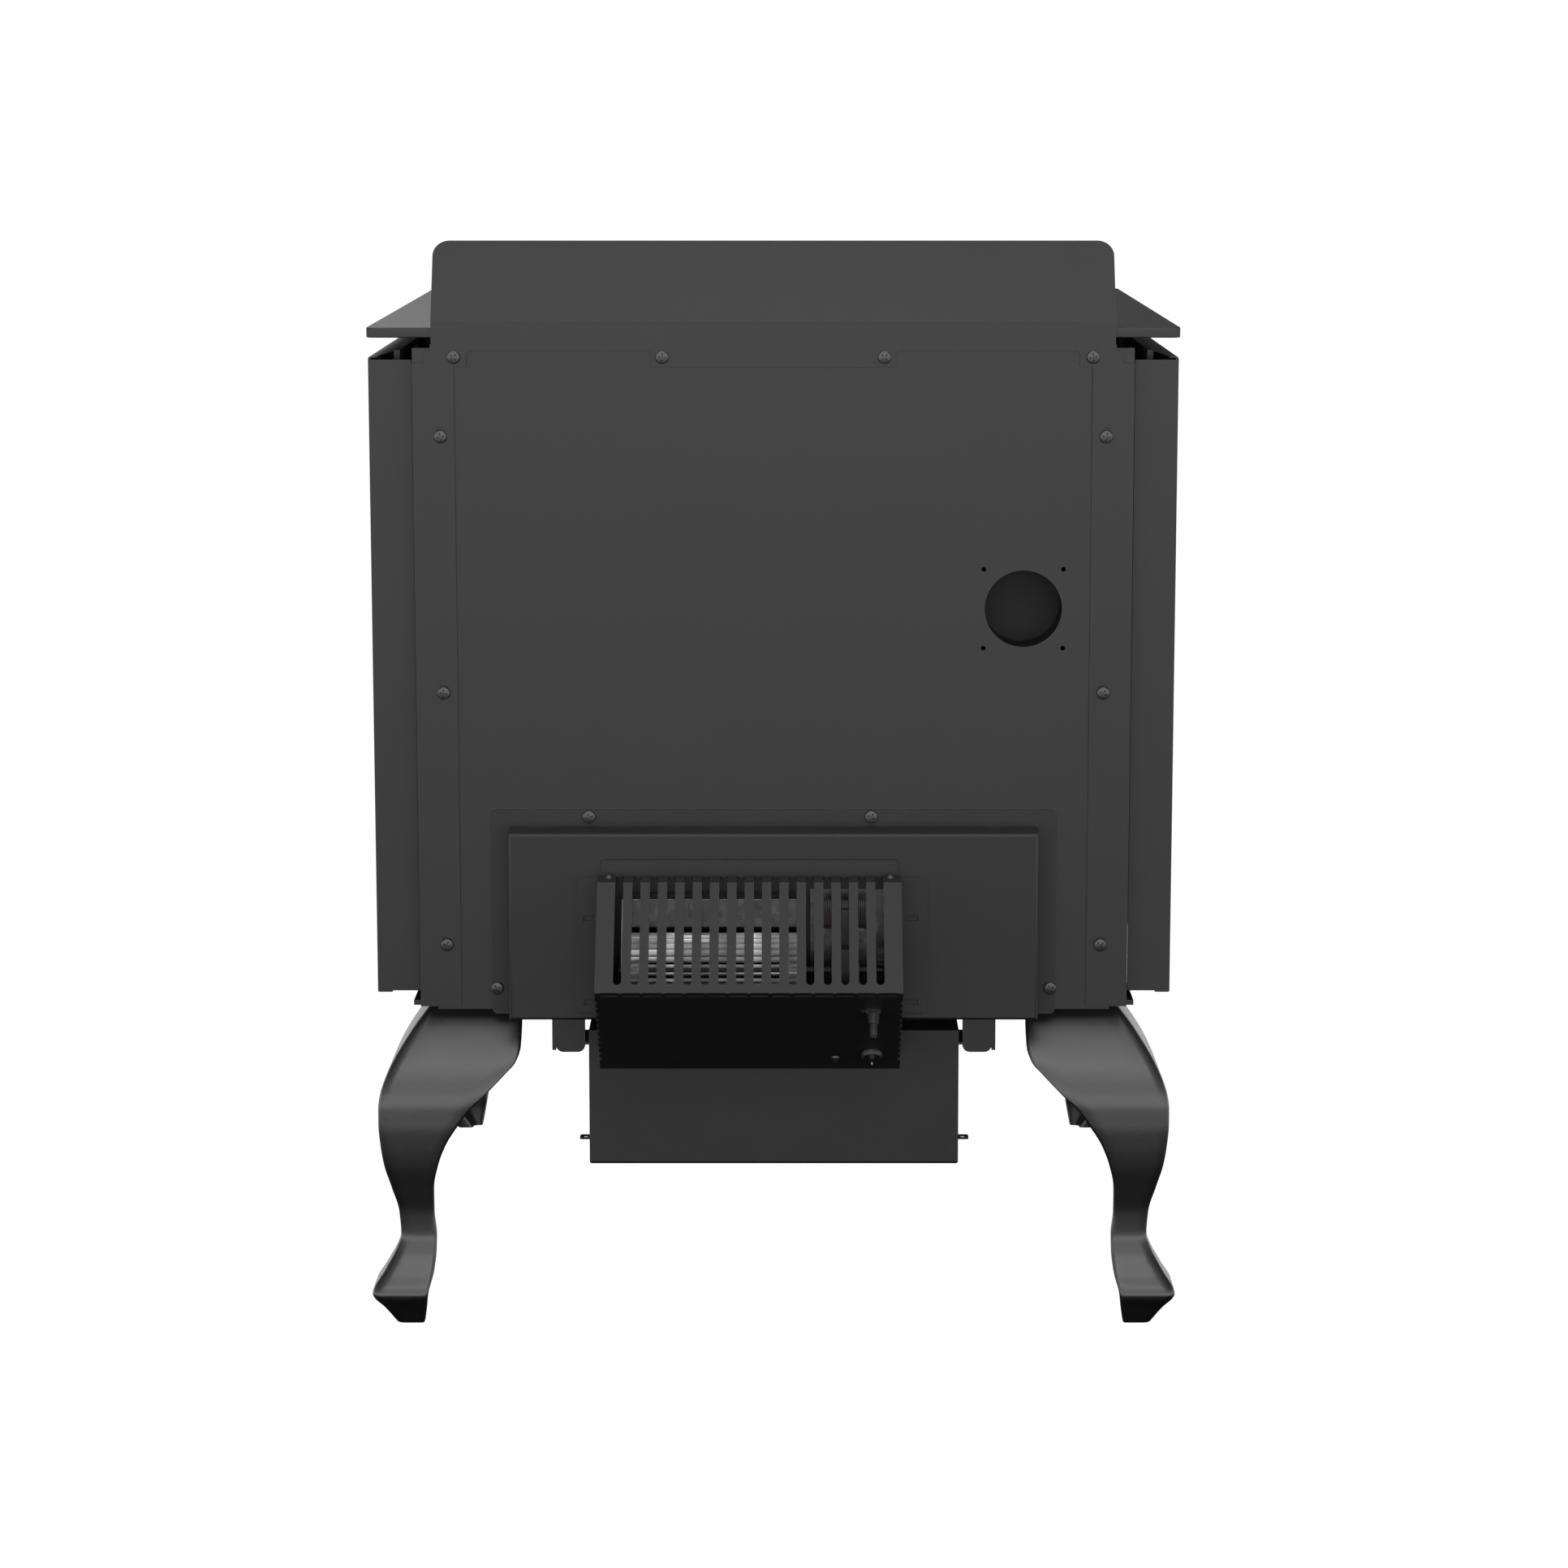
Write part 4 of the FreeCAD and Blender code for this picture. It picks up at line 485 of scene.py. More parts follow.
def roundedLoop(x0, x1, z0, z1, y, corner, spacing):
    # points round an upright rounded rectangle
    left, right, low, high = x0 + corner, x1 - corner, z0 + corner, z1 - corner
    steps = 8
    outline = []
    for quarter, (cx, cz) in enumerate(((right, high), (left, high), (left, low), (right, low))):
        for k in range(steps + 1):
            angle = math.pi / 2 * (quarter + k / steps)
            outline.append(Vector((cx + corner * math.cos(angle), y, cz + corner * math.sin(angle))))
    outline.append(outline[0].copy())
    run = [0.0]
    for a, b in zip(outline, outline[1:]):
        run.append(run[-1] + (b - a).length)
    count = int(run[-1] / spacing)
    path = []
    k = 0
    for i in range(count):
        target = run[-1] * i / count
        while run[k + 1] < target:
            k += 1
        share = (target - run[k]) / (run[k + 1] - run[k])
        path.append(outline[k].lerp(outline[k + 1], share))
    return path


# Carried-over pieces: tiny rounded edges catch the light. Each takes the finish of its slot,
# or the one that paintOf gives it

edgeRounding = {
    "default": 0.0003,
    "top_plate": 0.0008,
    "front_face": 0.0012,
    "flue_collar": 0.0012,
    "ash_plug": 0.0012,
    "door_frame": 0.0012,
    "floor_bricks": 0.0018,
    "wall_bricks": 0.0018,
    "baffle_boards": 0.0012,
    "ash_drawer_front": 0.0006,
    "door_hinge_lugs": 0.0006,
    "latch_keeper": 0.0006,
    "rear_screws": 0.00015,
    "cage_screws": 0.00015,
    "blower_wheel": 0.0,
    "door_glass": 0.0006,
}
slotOf = {part["node"]: part["material_slot"] for part in frame["record"]["subparts"]}
# dimmer copies of the paint are painted shade: one for the air box, ash box, cage and mount plate, and a darker
# one for the firebox shell and port duct
paintOf = {
    "air_box": "paint_in_painted_shade",
    "ash_box": "paint_in_painted_shade",
    "blower_cage": "paint_in_painted_shade",
    "blower_mount_plate": "paint_in_painted_shade",
    "port_duct": "paint_in_deeper_painted_shade",
    "firebox_shell": "paint_in_deeper_painted_shade",
    "motor_core": "core_steel",
    "blower_shaft": "core_steel",
}
nodeCare = {"weld": 0.000002, "flatAngle": 0.2, "cornerAngle": 32, "segments": 2}


def dressNode(name, node):
    mesh = node.data
    mesh.materials.clear()
    mesh.materials.append(finishes[paintOf.get(name, slotOf[name])])
    mesh.shade_smooth()
    node.modifiers.new("joinCorners", "WELD").merge_threshold = nodeCare["weld"]
    flatten = node.modifiers.new("mergeFlats", "DECIMATE")
    flatten.decimate_type = "DISSOLVE"
    flatten.angle_limit = math.radians(nodeCare["flatAngle"])
    width = edgeRounding.get(name, edgeRounding["default"])
    if width:
        rounding = node.modifiers.new("roundEdges", "BEVEL")
        rounding.width = width
        rounding.segments = nodeCare["segments"]
        rounding.limit_method = "ANGLE"
        rounding.angle_limit = math.radians(nodeCare["cornerAngle"])
        rounding.use_clamp_overlap = True
    node.modifiers.new("evenNormals", "WEIGHTED_NORMAL").keep_sharp = False


for name, node in frame["nodes"].items():
    dressNode(name, node)
print("carried-over pieces dressed")


# Pan head screws of the rear shield: a low dome with a rolled edge and a tapered cross recess

screwLook = {
    "headRadius": 0.005, "headHeight": 0.0031, "edgeRadius": 0.0008, "crown": 0.0003,
    "footShare": 0.97, "footHeight": 0.0003,
    "shankRadius": 0.0021, "shankLength": 0.008,
    "armLong": 0.0058, "armWide": 0.00058, "armDeep": 0.0016,
    "armOverrun": 1.15, "mouthScale": 1.15, "floorScale": 0.62, "punchLift": 0.001,
    "steps": 48, "edgeRings": 6, "crownRings": 6, "sharpAngle": 34,
    "firstTurn": 0.7, "turnEach": 1.9,          # radians: each screw stops at another angle
}


def headProfile(look):
    radius, height = look["headRadius"], look["headHeight"]
    edge, shank = look["edgeRadius"], look["shankRadius"]
    rows = [(shank, -look["shankLength"]), (shank, 0.0), (radius * look["footShare"], 0.0),
            (radius, look["footHeight"])]
    side = height - look["crown"] - edge
    for k in range(look["edgeRings"] + 1):
        angle = math.pi / 2 * k / look["edgeRings"]
        rows.append((radius - edge + edge * math.cos(angle), side + edge * math.sin(angle)))
    for k in range(1, look["crownRings"] + 1):
        share = 1 - k / (look["crownRings"] + 0.5)
        rows.append(((radius - edge) * share, height - look["crown"] * share ** 2))
    return rows


def crossCutter(look):
    # four-armed tapered punch, its top above the head
    reach = look["armLong"] / 2 * look["armOverrun"]
    wide = look["armWide"]
    outline = []
    for quarter in range(4):
        c, s = math.cos(math.pi / 2 * quarter), math.sin(math.pi / 2 * quarter)
        for x, y in ((reach, -wide), (reach, wide), (wide, wide)):
            outline.append((x * c - y * s, x * s + y * c))
    mouth = look["headHeight"] + look["punchLift"]
    floor = look["headHeight"] - look["armDeep"]
    points = []
    for height, scale in ((mouth, look["mouthScale"]), (floor, look["floorScale"])):
        points += [(x * scale, y * scale, height) for x, y in outline]
    return points, cappedFaces(2, len(outline))


def carved(points, faces, cutterPoints, cutterFaces):
    made = []
    for label, (p, f) in {"blank": (points, faces), "punch": (cutterPoints, cutterFaces)}.items():
        mesh = bpy.data.meshes.new(label)
        mesh.from_pydata([tuple(v) for v in p], [], f)
        shape = bmesh.new()
        shape.from_mesh(mesh)
        bmesh.ops.recalc_face_normals(shape, faces=shape.faces)
        shape.to_mesh(mesh)
        shape.free()
        made.append(bpy.data.objects.new(label, mesh))
        bpy.context.scene.collection.objects.link(made[-1])
    blank, punch = made
    cut = blank.modifiers.new("cut", "BOOLEAN")
    cut.object = punch
    cut.operation = "DIFFERENCE"
    cut.solver = "EXACT"
    result = bpy.data.meshes.new_from_object(blank.evaluated_get(bpy.context.evaluated_depsgraph_get()))
    outPoints = [v.co.copy() for v in result.vertices]
    outFaces = [tuple(poly.vertices) for poly in result.polygons]
    for extra in made:
        bpy.data.objects.remove(extra)
    return outPoints, outFaces


def looseParts(node):
    # lowest and highest corner of each separate solid in a carried-over node
    shape = bmesh.new()
    shape.from_mesh(node.data)
    bmesh.ops.remove_doubles(shape, verts=shape.verts, dist=nodeCare["weld"])
    left = set(shape.verts)
    boxes = []
    while left:
        stack = [next(iter(left))]
        group = []
        left.discard(stack[0])
        while stack:
            corner = stack.pop()
            group.append(corner.co.copy())
            for edge in corner.link_edges:
                other = edge.other_vert(corner)
                if other in left:
                    left.discard(other)
                    stack.append(other)
        low = Vector([min(c[k] for c in group) for k in range(3)])
        high = Vector([max(c[k] for c in group) for k in range(3)])
        boxes.append((low, high))
    shape.free()
    return sorted(boxes, key=lambda pair: tuple(round(v, 5) for v in (*pair[0], *pair[1])))


def makeRearScrews(look):
    points, faces = turned(headProfile(look), look["steps"], (0, 0, 0), (0, 0, 1))
    points, faces = carved(points, faces, *crossCutter(look))
    tip = Matrix.Rotation(math.radians(-90), 3, "X")
    allPoints = []
    allFaces = []
    for index, (low, high) in enumerate(looseParts(frame["nodes"]["rear_screws"])):
        middle = (low + high) / 2
        seat = Vector((middle.x, low.y + look["shankLength"], middle.z))
        spin = Matrix.Rotation(look["firstTurn"] + look["turnEach"] * index, 3, "Z")
        allFaces += shiftedFaces(faces, len(allPoints))
        allPoints += [seat + tip @ (spin @ Vector(p)) for p in points]
    screws = pieceFrom("pan_head_screws", allPoints, allFaces, "black_screws", "stove",
                       ("rear_screws",))
    sharpenEdges(screws, look["sharpAngle"])


makeRearScrews(screwLook)
print("screws made")


# Legs: cast cabriole angle legs, one smooth loft each

legLook = {
    # height, crest and wing end, in millimetres from the body's middle lines
    "profile": [
        (0, 304.5, 282), (14, 313.6, 279.6), (28, 322.3, 277.5), (44, 313.4, 273.4), (60, 304.5, 272),
        (72, 300.9, 272), (90, 302, 273.5), (112, 307.5, 273), (132, 312.7, 268.8), (150, 315.2, 262),
        (166, 316.3, 252), (180, 316.2, 241.5), (190, 314.8, 231), (199, 312.1, 222), (207, 308.8, 214),
        (215, 304.8, 206.5), (226, 298.2, 202.6), (240, 288.6, 202.1), (249, 281.4, 202.1),
        (256.7, 275.2, 202.1)],
    "rows": 110,
    "skin": 8.0,
    "footSkin": 6.0,
    "mostSkin": 0.72,                 # skin and crest at most this share of the section's width
    "crest": 9.0,
    "mostCrest": 0.3,
    "tipShare": 0.42,                 # roundings as shares of the skin, and the largest they get
    "mostTip": 2.6,
    "insideShare": 0.5,
    "mostInside": 4.0,
    "toeHeight": 28.0,
    "toeRow": 0.8,                    # rows beside the toe's edge, and the gap kept round them
    "toeGap": 1.2,
    "sharpAngle": 38,
}
legCorners = {"front_left": (-1, -1), "front_right": (1, -1), "rear_left": (-1, 1), "rear_right": (1, 1)}


def bodyMiddle():
    low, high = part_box("top_plate")
    return (low.y + high.y) / 2


def smoothCurve(heights, values, at):
    # cubic through the values that never overshoots them
    heights, values = np.array(heights, float), np.array(values, float)
    slopes = np.diff(values) / np.diff(heights)
    bend = np.zeros(len(values))
    bend[0], bend[-1] = slopes[0], slopes[-1]
    for i in range(1, len(values) - 1):
        if slopes[i - 1] * slopes[i] > 0:
            bend[i] = 2 * slopes[i - 1] * slopes[i] / (slopes[i - 1] + slopes[i])
    i = min(max(int(np.searchsorted(heights, at)) - 1, 0), len(slopes) - 1)
    step = heights[i + 1] - heights[i]
    t = (at - heights[i]) / step
    return ((2 * t ** 3 - 3 * t ** 2 + 1) * values[i] + (t ** 3 - 2 * t ** 2 + t) * step * bend[i]
            + (-2 * t ** 3 + 3 * t ** 2) * values[i + 1] + (t ** 3 - t ** 2) * step * bend[i + 1])


def legHeights(look):
    # the toe's sharp edge has a row of its own, with close rows beside it
    top = look["profile"][-1][0]
    heights = [top * k / (look["rows"] - 1) for k in range(look["rows"])]
    near = [look["toeHeight"] + d for d in (-look["toeRow"], 0.0, look["toeRow"])]
    kept = [h for h in heights if abs(h - look["toeHeight"]) > look["toeGap"]]
    return sorted(kept + near)


def arcPoints(cx, cy, radius, fromDegrees, toDegrees, steps):
    made = []
    for k in range(steps + 1):
        angle = math.radians(fromDegrees + (toDegrees - fromDegrees) * k / steps)
        made.append((cx + radius * math.cos(angle), cy + radius * math.sin(angle)))
    return made


def legOutline(outer, wing, skin, crest, look):
    # one quarter turn of the angle section, drawn in the corner towards +X +Y
    tip = min(skin * look["tipShare"], look["mostTip"])
    inside = min(skin * look["insideShare"], look["mostInside"])
    low = outer - skin
    start = wing + tip
    wall = outer - crest - start
    back = low - inside - start
    outline = []
    outline += arcPoints(outer - tip, start, tip, -90, 0, 3)
    outline += [(outer, start + wall * k / 6) for k in range(1, 6)]
    outline += arcPoints(outer - crest, outer - crest, crest, 0, 90, 8)
    outline += [(outer - crest - wall * k / 6, outer) for k in range(1, 6)]
    outline += arcPoints(start, outer - tip, tip, 90, 180, 3)
    outline += arcPoints(start, low + tip, tip, 180, 270, 3)
    outline += [(start + back * k / 4, low) for k in range(1, 4)]
    outline += arcPoints(low - inside, low - inside, inside, 90, 0, 3)
    outline += [(low, low - inside - back * k / 4) for k in range(1, 4)]
    outline += arcPoints(low + tip, start, tip, 180, 270, 3)
    return outline


def makeLeg(name, signX, signY, look):
    heights, crests, wings = zip(*look["profile"])
    middleY = bodyMiddle()
    rows = legHeights(look)
    points = []
    for z in rows:
        outer = smoothCurve(heights, crests, z)
        wing = smoothCurve(heights, wings, z)
        skin = look["skin"] + (1 - z / heights[-1]) * look["footSkin"]
        skin = min(skin, (outer - wing) * look["mostSkin"])
        crest = min(look["crest"], (outer - wing) * look["mostCrest"])
        for x, y in legOutline(outer, wing, skin, crest, look):
            points.append((signX * x / 1000, middleY + signY * y / 1000, z / 1000))
    faces = cappedFaces(len(rows), len(points) // len(rows))
    leg = pieceFrom(name + "_casting", points, faces, "cast_iron", "stove", (name,))
    sharpenEdges(leg, look["sharpAngle"])


for label, (signX, signY) in legCorners.items():
    makeLeg("leg_" + label, signX, signY, legLook)


legPadLook = {
    "reach": 0.2670, "inner": 0.2022, "thick": 0.008, "top": 0.2568,
    "corner": 0.004, "edge": 0.0006, "sharpAngle": 38,
}


def makeLegPads(look):
    # flat pad inside the top of each leg that its bolt goes through
    middleY = bodyMiddle()
    centre = (look["reach"] + look["inner"]) / 2
    half = (look["reach"] - look["inner"]) / 2
    thick, edge, corner = look["thick"], look["edge"], look["corner"]
    outline = []
    for quarter, (sx, sy) in enumerate(((1, 1), (-1, 1), (-1, -1), (1, -1))):
        cx = centre + sx * (half - corner)
        cy = centre + sy * (half - corner)
        outline += arcPoints(cx, cy, corner, 90 * quarter, 90 * quarter + 90, 4)
    layers = ((0.0, edge), (edge, 0.0), (thick - edge, 0.0), (thick, edge))
    for label, (signX, signY) in legCorners.items():
        points = []
        for z, inset in layers:
            for x, y in outline:
                px = centre + (x - centre) * (1 - inset / half)
                py = centre + (y - centre) * (1 - inset / half)
                points.append((signX * px, middleY + signY * py, look["top"] - thick + z))
        faces = cappedFaces(len(layers), len(outline))
        pad = pieceFrom("leg_pad_" + label, points, faces, "cast_iron", "stove", ())
        sharpenEdges(pad, look["sharpAngle"])


makeLegPads(legPadLook)
print("legs made")


# Door rope gasket: a braided glass-fibre rope laid in the door's groove

ropeLook = {
    "braidPitch": 0.0075, "strands": 5, "relief": 0.09, "fill": 0.985,
    "spacing": 0.0011, "steps": 20, "corner": 0.014,
}


def makeRope(look):
    low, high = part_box("door_gasket")
    radius = (high.y - low.y) / 2
    path = roundedLoop(low.x + radius, high.x - radius, low.z + radius, high.z - radius,
                       (low.y + high.y) / 2, look["corner"], look["spacing"])

    def radiusAt(angle, distance):
        turn = 2 * math.pi * distance / (look["braidPitch"] * 2)
        over = math.cos(look["strands"] * (angle + turn / look["strands"]))
        under = math.cos(look["strands"] * (angle - turn / look["strands"]))
        lift = max(abs(over), abs(under)) - 1.0
        return radius * (look["fill"] + look["relief"] * lift)

    points, faces = swept(path, radiusAt, look["steps"], Vector((0, 1, 0)))
    pieceFrom("door_rope", points, faces, "fibre_rope", "door", ("door_gasket",))


makeRope(ropeLook)


# Ceramic blanket over the baffle boards: a soft mat with an uneven top and frayed sides

blanketLook = {
    "cell": 0.006, "lumps": 0.0022, "lumpScale": 55, "fray": 0.002, "frayScale": 160,
    "frayReach": 0.25, "edge": 0.012, "edgeDrop": 0.55,
}


def makeBlanket(look):
    low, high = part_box("baffle_blanket")
    wide, deep, thick = high.x - low.x, high.y - low.y, high.z - low.z
    cx, cy = (low.x + high.x) / 2, (low.y + high.y) / 2
    columns = int(wide / look["cell"]) + 1
    rows = int(deep / look["cell"]) + 1
    points = []
    for layer in (0, 1):
        for j in range(rows):
            for i in range(columns):
                u, v = i / (columns - 1), j / (rows - 1)
                x, y = low.x + u * wide, low.y + v * deep
                side = min(u * wide, (1 - u) * wide, v * deep, (1 - v) * deep)
                rounding = 1 - max(0.0, 1 - side / look["edge"]) ** 2 * look["edgeDrop"]
                z = low.z
                if layer:
                    lumpPlace = Vector((x * look["lumpScale"], y * look["lumpScale"], 7.0))
                    lump = (noise.noise(lumpPlace) - 0.5) * look["lumps"]
                    z = min(high.z, low.z + thick * rounding + lump)
                pull = 1.0
                if side < look["cell"]:
                    frayPlace = Vector((x * look["frayScale"], y * look["frayScale"], layer * 3.0))
                    pull = 1 - abs(noise.noise(frayPlace) * look["fray"]) / look["frayReach"]
                points.append((cx + (x - cx) * pull, cy + (y - cy) * pull, z))
    faces = []
    size = rows * columns
    for j in range(rows - 1):
        for i in range(columns - 1):
            a = j * columns + i
            faces.append((a, a + columns, a + columns + 1, a + 1))
            faces.append((size + a, size + a + 1, size + a + columns + 1, size + a + columns))
    rim = list(range(columns))
    rim += [j * columns + columns - 1 for j in range(1, rows)]
    rim += [(rows - 1) * columns + i for i in range(columns - 2, -1, -1)]
    rim += [j * columns for j in range(rows - 2, 0, -1)]
    for a, b in zip(rim, rim[1:] + rim[:1]):
        faces.append((a, b, size + b, size + a))
    pieceFrom("ceramic_blanket", points, faces, "fibre_rope", "stove", ("baffle_blanket",))


makeBlanket(blanketLook)
print("rope and blanket made")


# Door handle grip: turned wood with a steel ferrule at its top end

gripLook = {
    # share of the radius, share of the length
    "shape": [
        (0.0, 0.0), (0.35, 0.0), (0.58, 0.006), (0.66, 0.02), (0.72, 0.05), (0.66, 0.062), (0.64, 0.075),
        (0.74, 0.11), (0.86, 0.22), (0.95, 0.38), (1.0, 0.56), (0.985, 0.72), (0.93, 0.85), (0.80, 0.94),
        (0.55, 0.985), (0.25, 1.0), (0.0, 1.0)],
    "rings": 90, "steps": 48, "leastRadius": 0.0002,
    "ferrule": 0.008, "ferruleRadius": 0.0072, "ferruleThroat": 0.0066, "ferruleOverlap": 0.0012,
    "ferruleShape": [
        (0.0052, 0.0), (0.0068, 0.0003), (0.0072, 0.001), (0.0072, 0.0028), (0.0066, 0.0034),
        (0.0066, 0.0046), (0.0072, 0.0052)],
    "ferruleSteps": 40, "sharpAngle": 30,
}


def makeGrip(look):
    low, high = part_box("door_handle_grip")
    radius, length = (high.x - low.x) / 2, high.z - low.z
    top = Vector(((low.x + high.x) / 2, (low.y + high.y) / 2, high.z))
    shape, ferrule = look["shape"], look["ferrule"]
    at = [0.0]
    for (r0, a0), (r1, a1) in zip(shape, shape[1:]):
        at.append(at[-1] + math.hypot((r1 - r0) * radius, (a1 - a0) * length))
    fine = np.linspace(0, at[-1], look["rings"])
    radii = np.interp(fine, at, [r for r, a in shape])
    alongs = np.interp(fine, at, [a for r, a in shape])
    soft = np.array([0.25, 0.5, 0.25])
    for _ in range(2):
        radii[1:-1] = np.convolve(radii, soft, "same")[1:-1]
    profile = [(max(look["leastRadius"], r * radius), a * (length - ferrule) + ferrule)
               for r, a in zip(radii, alongs)]
    points, faces = turned(profile, look["steps"], top, (0, 0, -1))
    pieceFrom("handle_turning", points, faces, "turned_wood", "door_handle",
              ("door_handle_grip",))
    collar = look["ferruleShape"] + [(look["ferruleRadius"], ferrule),
                                     (look["ferruleThroat"], ferrule + look["ferruleOverlap"])]
    points, faces = turned(collar, look["ferruleSteps"], top, (0, 0, -1))
    ring = pieceFrom("handle_ferrule", points, faces, "bare_steel", "door_handle", ())
    sharpenEdges(ring, look["sharpAngle"])


makeGrip(gripLook)


# Air control knob: a small turned knob with a waist and coin edge

airKnobLook = {
    # share of the radius, share of the length
    "shape": [
        (0.30, 0.0), (0.52, 0.02), (0.56, 0.10), (0.46, 0.22), (0.50, 0.32), (0.86, 0.42), (0.98, 0.48),
        (1.0, 0.56), (1.0, 0.80), (0.98, 0.88), (0.88, 0.96), (0.6, 0.99), (0.3, 1.0)],
    "flutes": 24, "depth": 0.035, "fluteFrom": 0.5, "fluteTo": 0.86,
    "steps": 144, "sharpAngle": 35,
}


def fluted(look, start, end):
    # shallow grooves round a turned knob, between two distances along it
    def ripple(angle, along, radius):
        if not start < along < end:
            return radius
        return radius * (1 - look["depth"] * (0.5 - 0.5 * math.cos(look["flutes"] * angle)))

    return ripple


def makeAirKnob(look):
    low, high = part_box("air_damper_knob")
    radius, length = (high.x - low.x) / 2, high.y - low.y
    start = Vector(((low.x + high.x) / 2, high.y, (low.z + high.z) / 2))
    profile = [(r * radius, a * length) for r, a in look["shape"]]
    flutes = fluted(look, look["fluteFrom"] * length, look["fluteTo"] * length)
    points, faces = turned(profile, look["steps"], start, (0, -1, 0), flutes)
    knob = pieceFrom("air_knob_turning", points, faces, "black_plastic", "air_damper",
                     ("air_damper_knob",))
    sharpenEdges(knob, look["sharpAngle"])


makeAirKnob(airKnobLook)


# Blower controls on the cage's underside: speed knob and the stub of cord

def jointNamed(name):
    return next(j for j in frame["joints"] if j["name"] == name)


speedAxis = Vector(jointNamed("speed_knob_turn")["axis"]).normalized()
speedKnobLook = {
    "shape": [
        (0.0060, 0.0004), (0.0084, 0.0004), (0.0087, 0.0009), (0.0087, 0.0022), (0.0083, 0.0030),
        (0.0079, 0.0048), (0.0073, 0.0053), (0.0050, 0.0054)],
    "flutes": 30, "depth": 0.03, "fluteFrom": 0.0008, "fluteTo": 0.005,
    "steps": 120, "sharpAngle": 35,
    "gripHalfLong": 0.0067, "gripHalfWide": 0.0023, "gripTop": 0.0083, "gripFoot": 0.0040,
    "gripEdge": ((0.0008, 0.92), (0.0002, 0.84), (0.0, 0.7)),      # below the top, share of the width
    "gripEndKept": 0.9, "gripRound": 10, "gripSharpAngle": 40,
    "lineHalf": 0.00045, "lineStart": 0.001, "lineEnd": 0.0042, "lineTip": 0.0046, "lineTipShare": 0.6,
    "lineLift": 0.00002, "lineDeep": 0.0002, "lineProud": 0.00008,
}


def makeSpeedKnob(look):
    foot = Vector(jointNamed("speed_knob_turn")["pos_m"])
    across = Vector((1, 0, 0))
    along = speedAxis.cross(across)
    flutes = fluted(look, look["fluteFrom"], look["fluteTo"])
    points, faces = turned(look["shape"], look["steps"], foot, speedAxis, flutes)
    skirt = pieceFrom("speed_knob_skirt", points, faces, "black_plastic", "speed_knob",
                      ("speed_knob",))
    sharpenEdges(skirt, look["sharpAngle"])

    wide = look["gripHalfWide"]
    straight = look["gripHalfLong"] - wide
    outline = []
    for sign in (1, -1):
        outline.append((sign * wide, sign * straight))
        for k in range(1, look["gripRound"]):
            angle = math.pi * k / look["gripRound"]
            outline.append((sign * wide * math.cos(angle), sign * (straight + wide * math.sin(angle))))
        outline.append((-sign * wide, sign * straight))
    kept = look["gripEndKept"]
    layers = [(look["gripFoot"], 1.0)] + [(look["gripTop"] - drop, scale) for drop, scale in look["gripEdge"]]
    points = []
    for height, scale in layers:
        points += [foot + across * x * scale + along * y * (kept + (1 - kept) * scale) + speedAxis * height
                   for x, y in outline]
    faces = cappedFaces(len(layers), len(outline))
    bar = pieceFrom("speed_knob_grip", points, faces, "black_plastic", "speed_knob", ())
    sharpenEdges(bar, look["gripSharpAngle"])

    top = foot + speedAxis * (look["gripTop"] + look["lineLift"])
    half = look["lineHalf"]
    narrow = half * look["lineTipShare"]
    outline = [(-half, look["lineStart"]), (half, look["lineStart"]), (half, look["lineEnd"]),
               (narrow, look["lineTip"]), (-narrow, look["lineTip"]), (-half, look["lineEnd"])]
    points = []
    for height in (-look["lineDeep"], look["lineProud"]):
        points += [top + across * x + along * y + speedAxis * height for x, y in outline]
    pieceFrom("speed_knob_pointer", points, cappedFaces(2, len(outline)), "mark", "speed_knob")


makeSpeedKnob(speedKnobLook)


cordLook = {
    "cordRadius": 0.00295, "stub": 0.0228, "hidden": 0.005, "steps": 40, "sharpAngle": 40,
    # share of the radius, distance from the cord's foot and from its cut
    "footShape": [(0.98, 0.0), (1.0, 0.0004)],
    "cutShape": [(1.0, -0.0006), (0.97, -0.0002), (0.86, 0.0), (0.3, -0.0001)],
    "cores": 3, "coreTurn": 0.5, "coreRadius": 0.00075, "coreSpread": 0.0013, "coreSunk": 0.0004,
    "coreShape": [(1.0, 0.0), (1.0, 0.0006), (0.9, 0.0007), (0.4, 0.00072)], "coreSteps": 18,
}


def makeCordEnd(look):
    # the strain relief is carried over; the cord shows its cores at the cut
    low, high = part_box("supply_cord_stub")
    length = look["stub"] + look["hidden"]
    foot = (low + high) / 2 - speedAxis * (length / 2)
    radius = look["cordRadius"]
    profile = [(radius * share, along) for share, along in look["footShape"]]
    profile.append((radius, length * 0.5))
    profile += [(radius * share, length + along) for share, along in look["cutShape"]]
    points, faces = turned(profile, look["steps"], foot, speedAxis)
    cord = pieceFrom("cord_jacket", points, faces, "cord_rubber", "stove",
                     ("supply_cord_stub",))
    sharpenEdges(cord, look["sharpAngle"])
    side = speedAxis.orthogonal().normalized()
    other = speedAxis.cross(side)
    ring = [(look["coreRadius"] * share, along) for share, along in look["coreShape"]]
    for k in range(look["cores"]):
        angle = 2 * math.pi * k / look["cores"] + look["coreTurn"]
        spoke = side * math.cos(angle) + other * math.sin(angle)
        spot = foot + spoke * look["coreSpread"] + speedAxis * (length - look["coreSunk"])
        points, faces = turned(ring, look["coreSteps"], spot, speedAxis)
        pieceFrom("cord_core_" + str(k + 1), points, faces, "tinned", "stove")


makeCordEnd(cordLook)


# Motor coil: turns of lacquered wire side by side on the core's top limb

coilLook = {"wire": 0.0008, "fit": 0.98, "corner": 0.004, "spacing": 0.0012, "steps": 8}


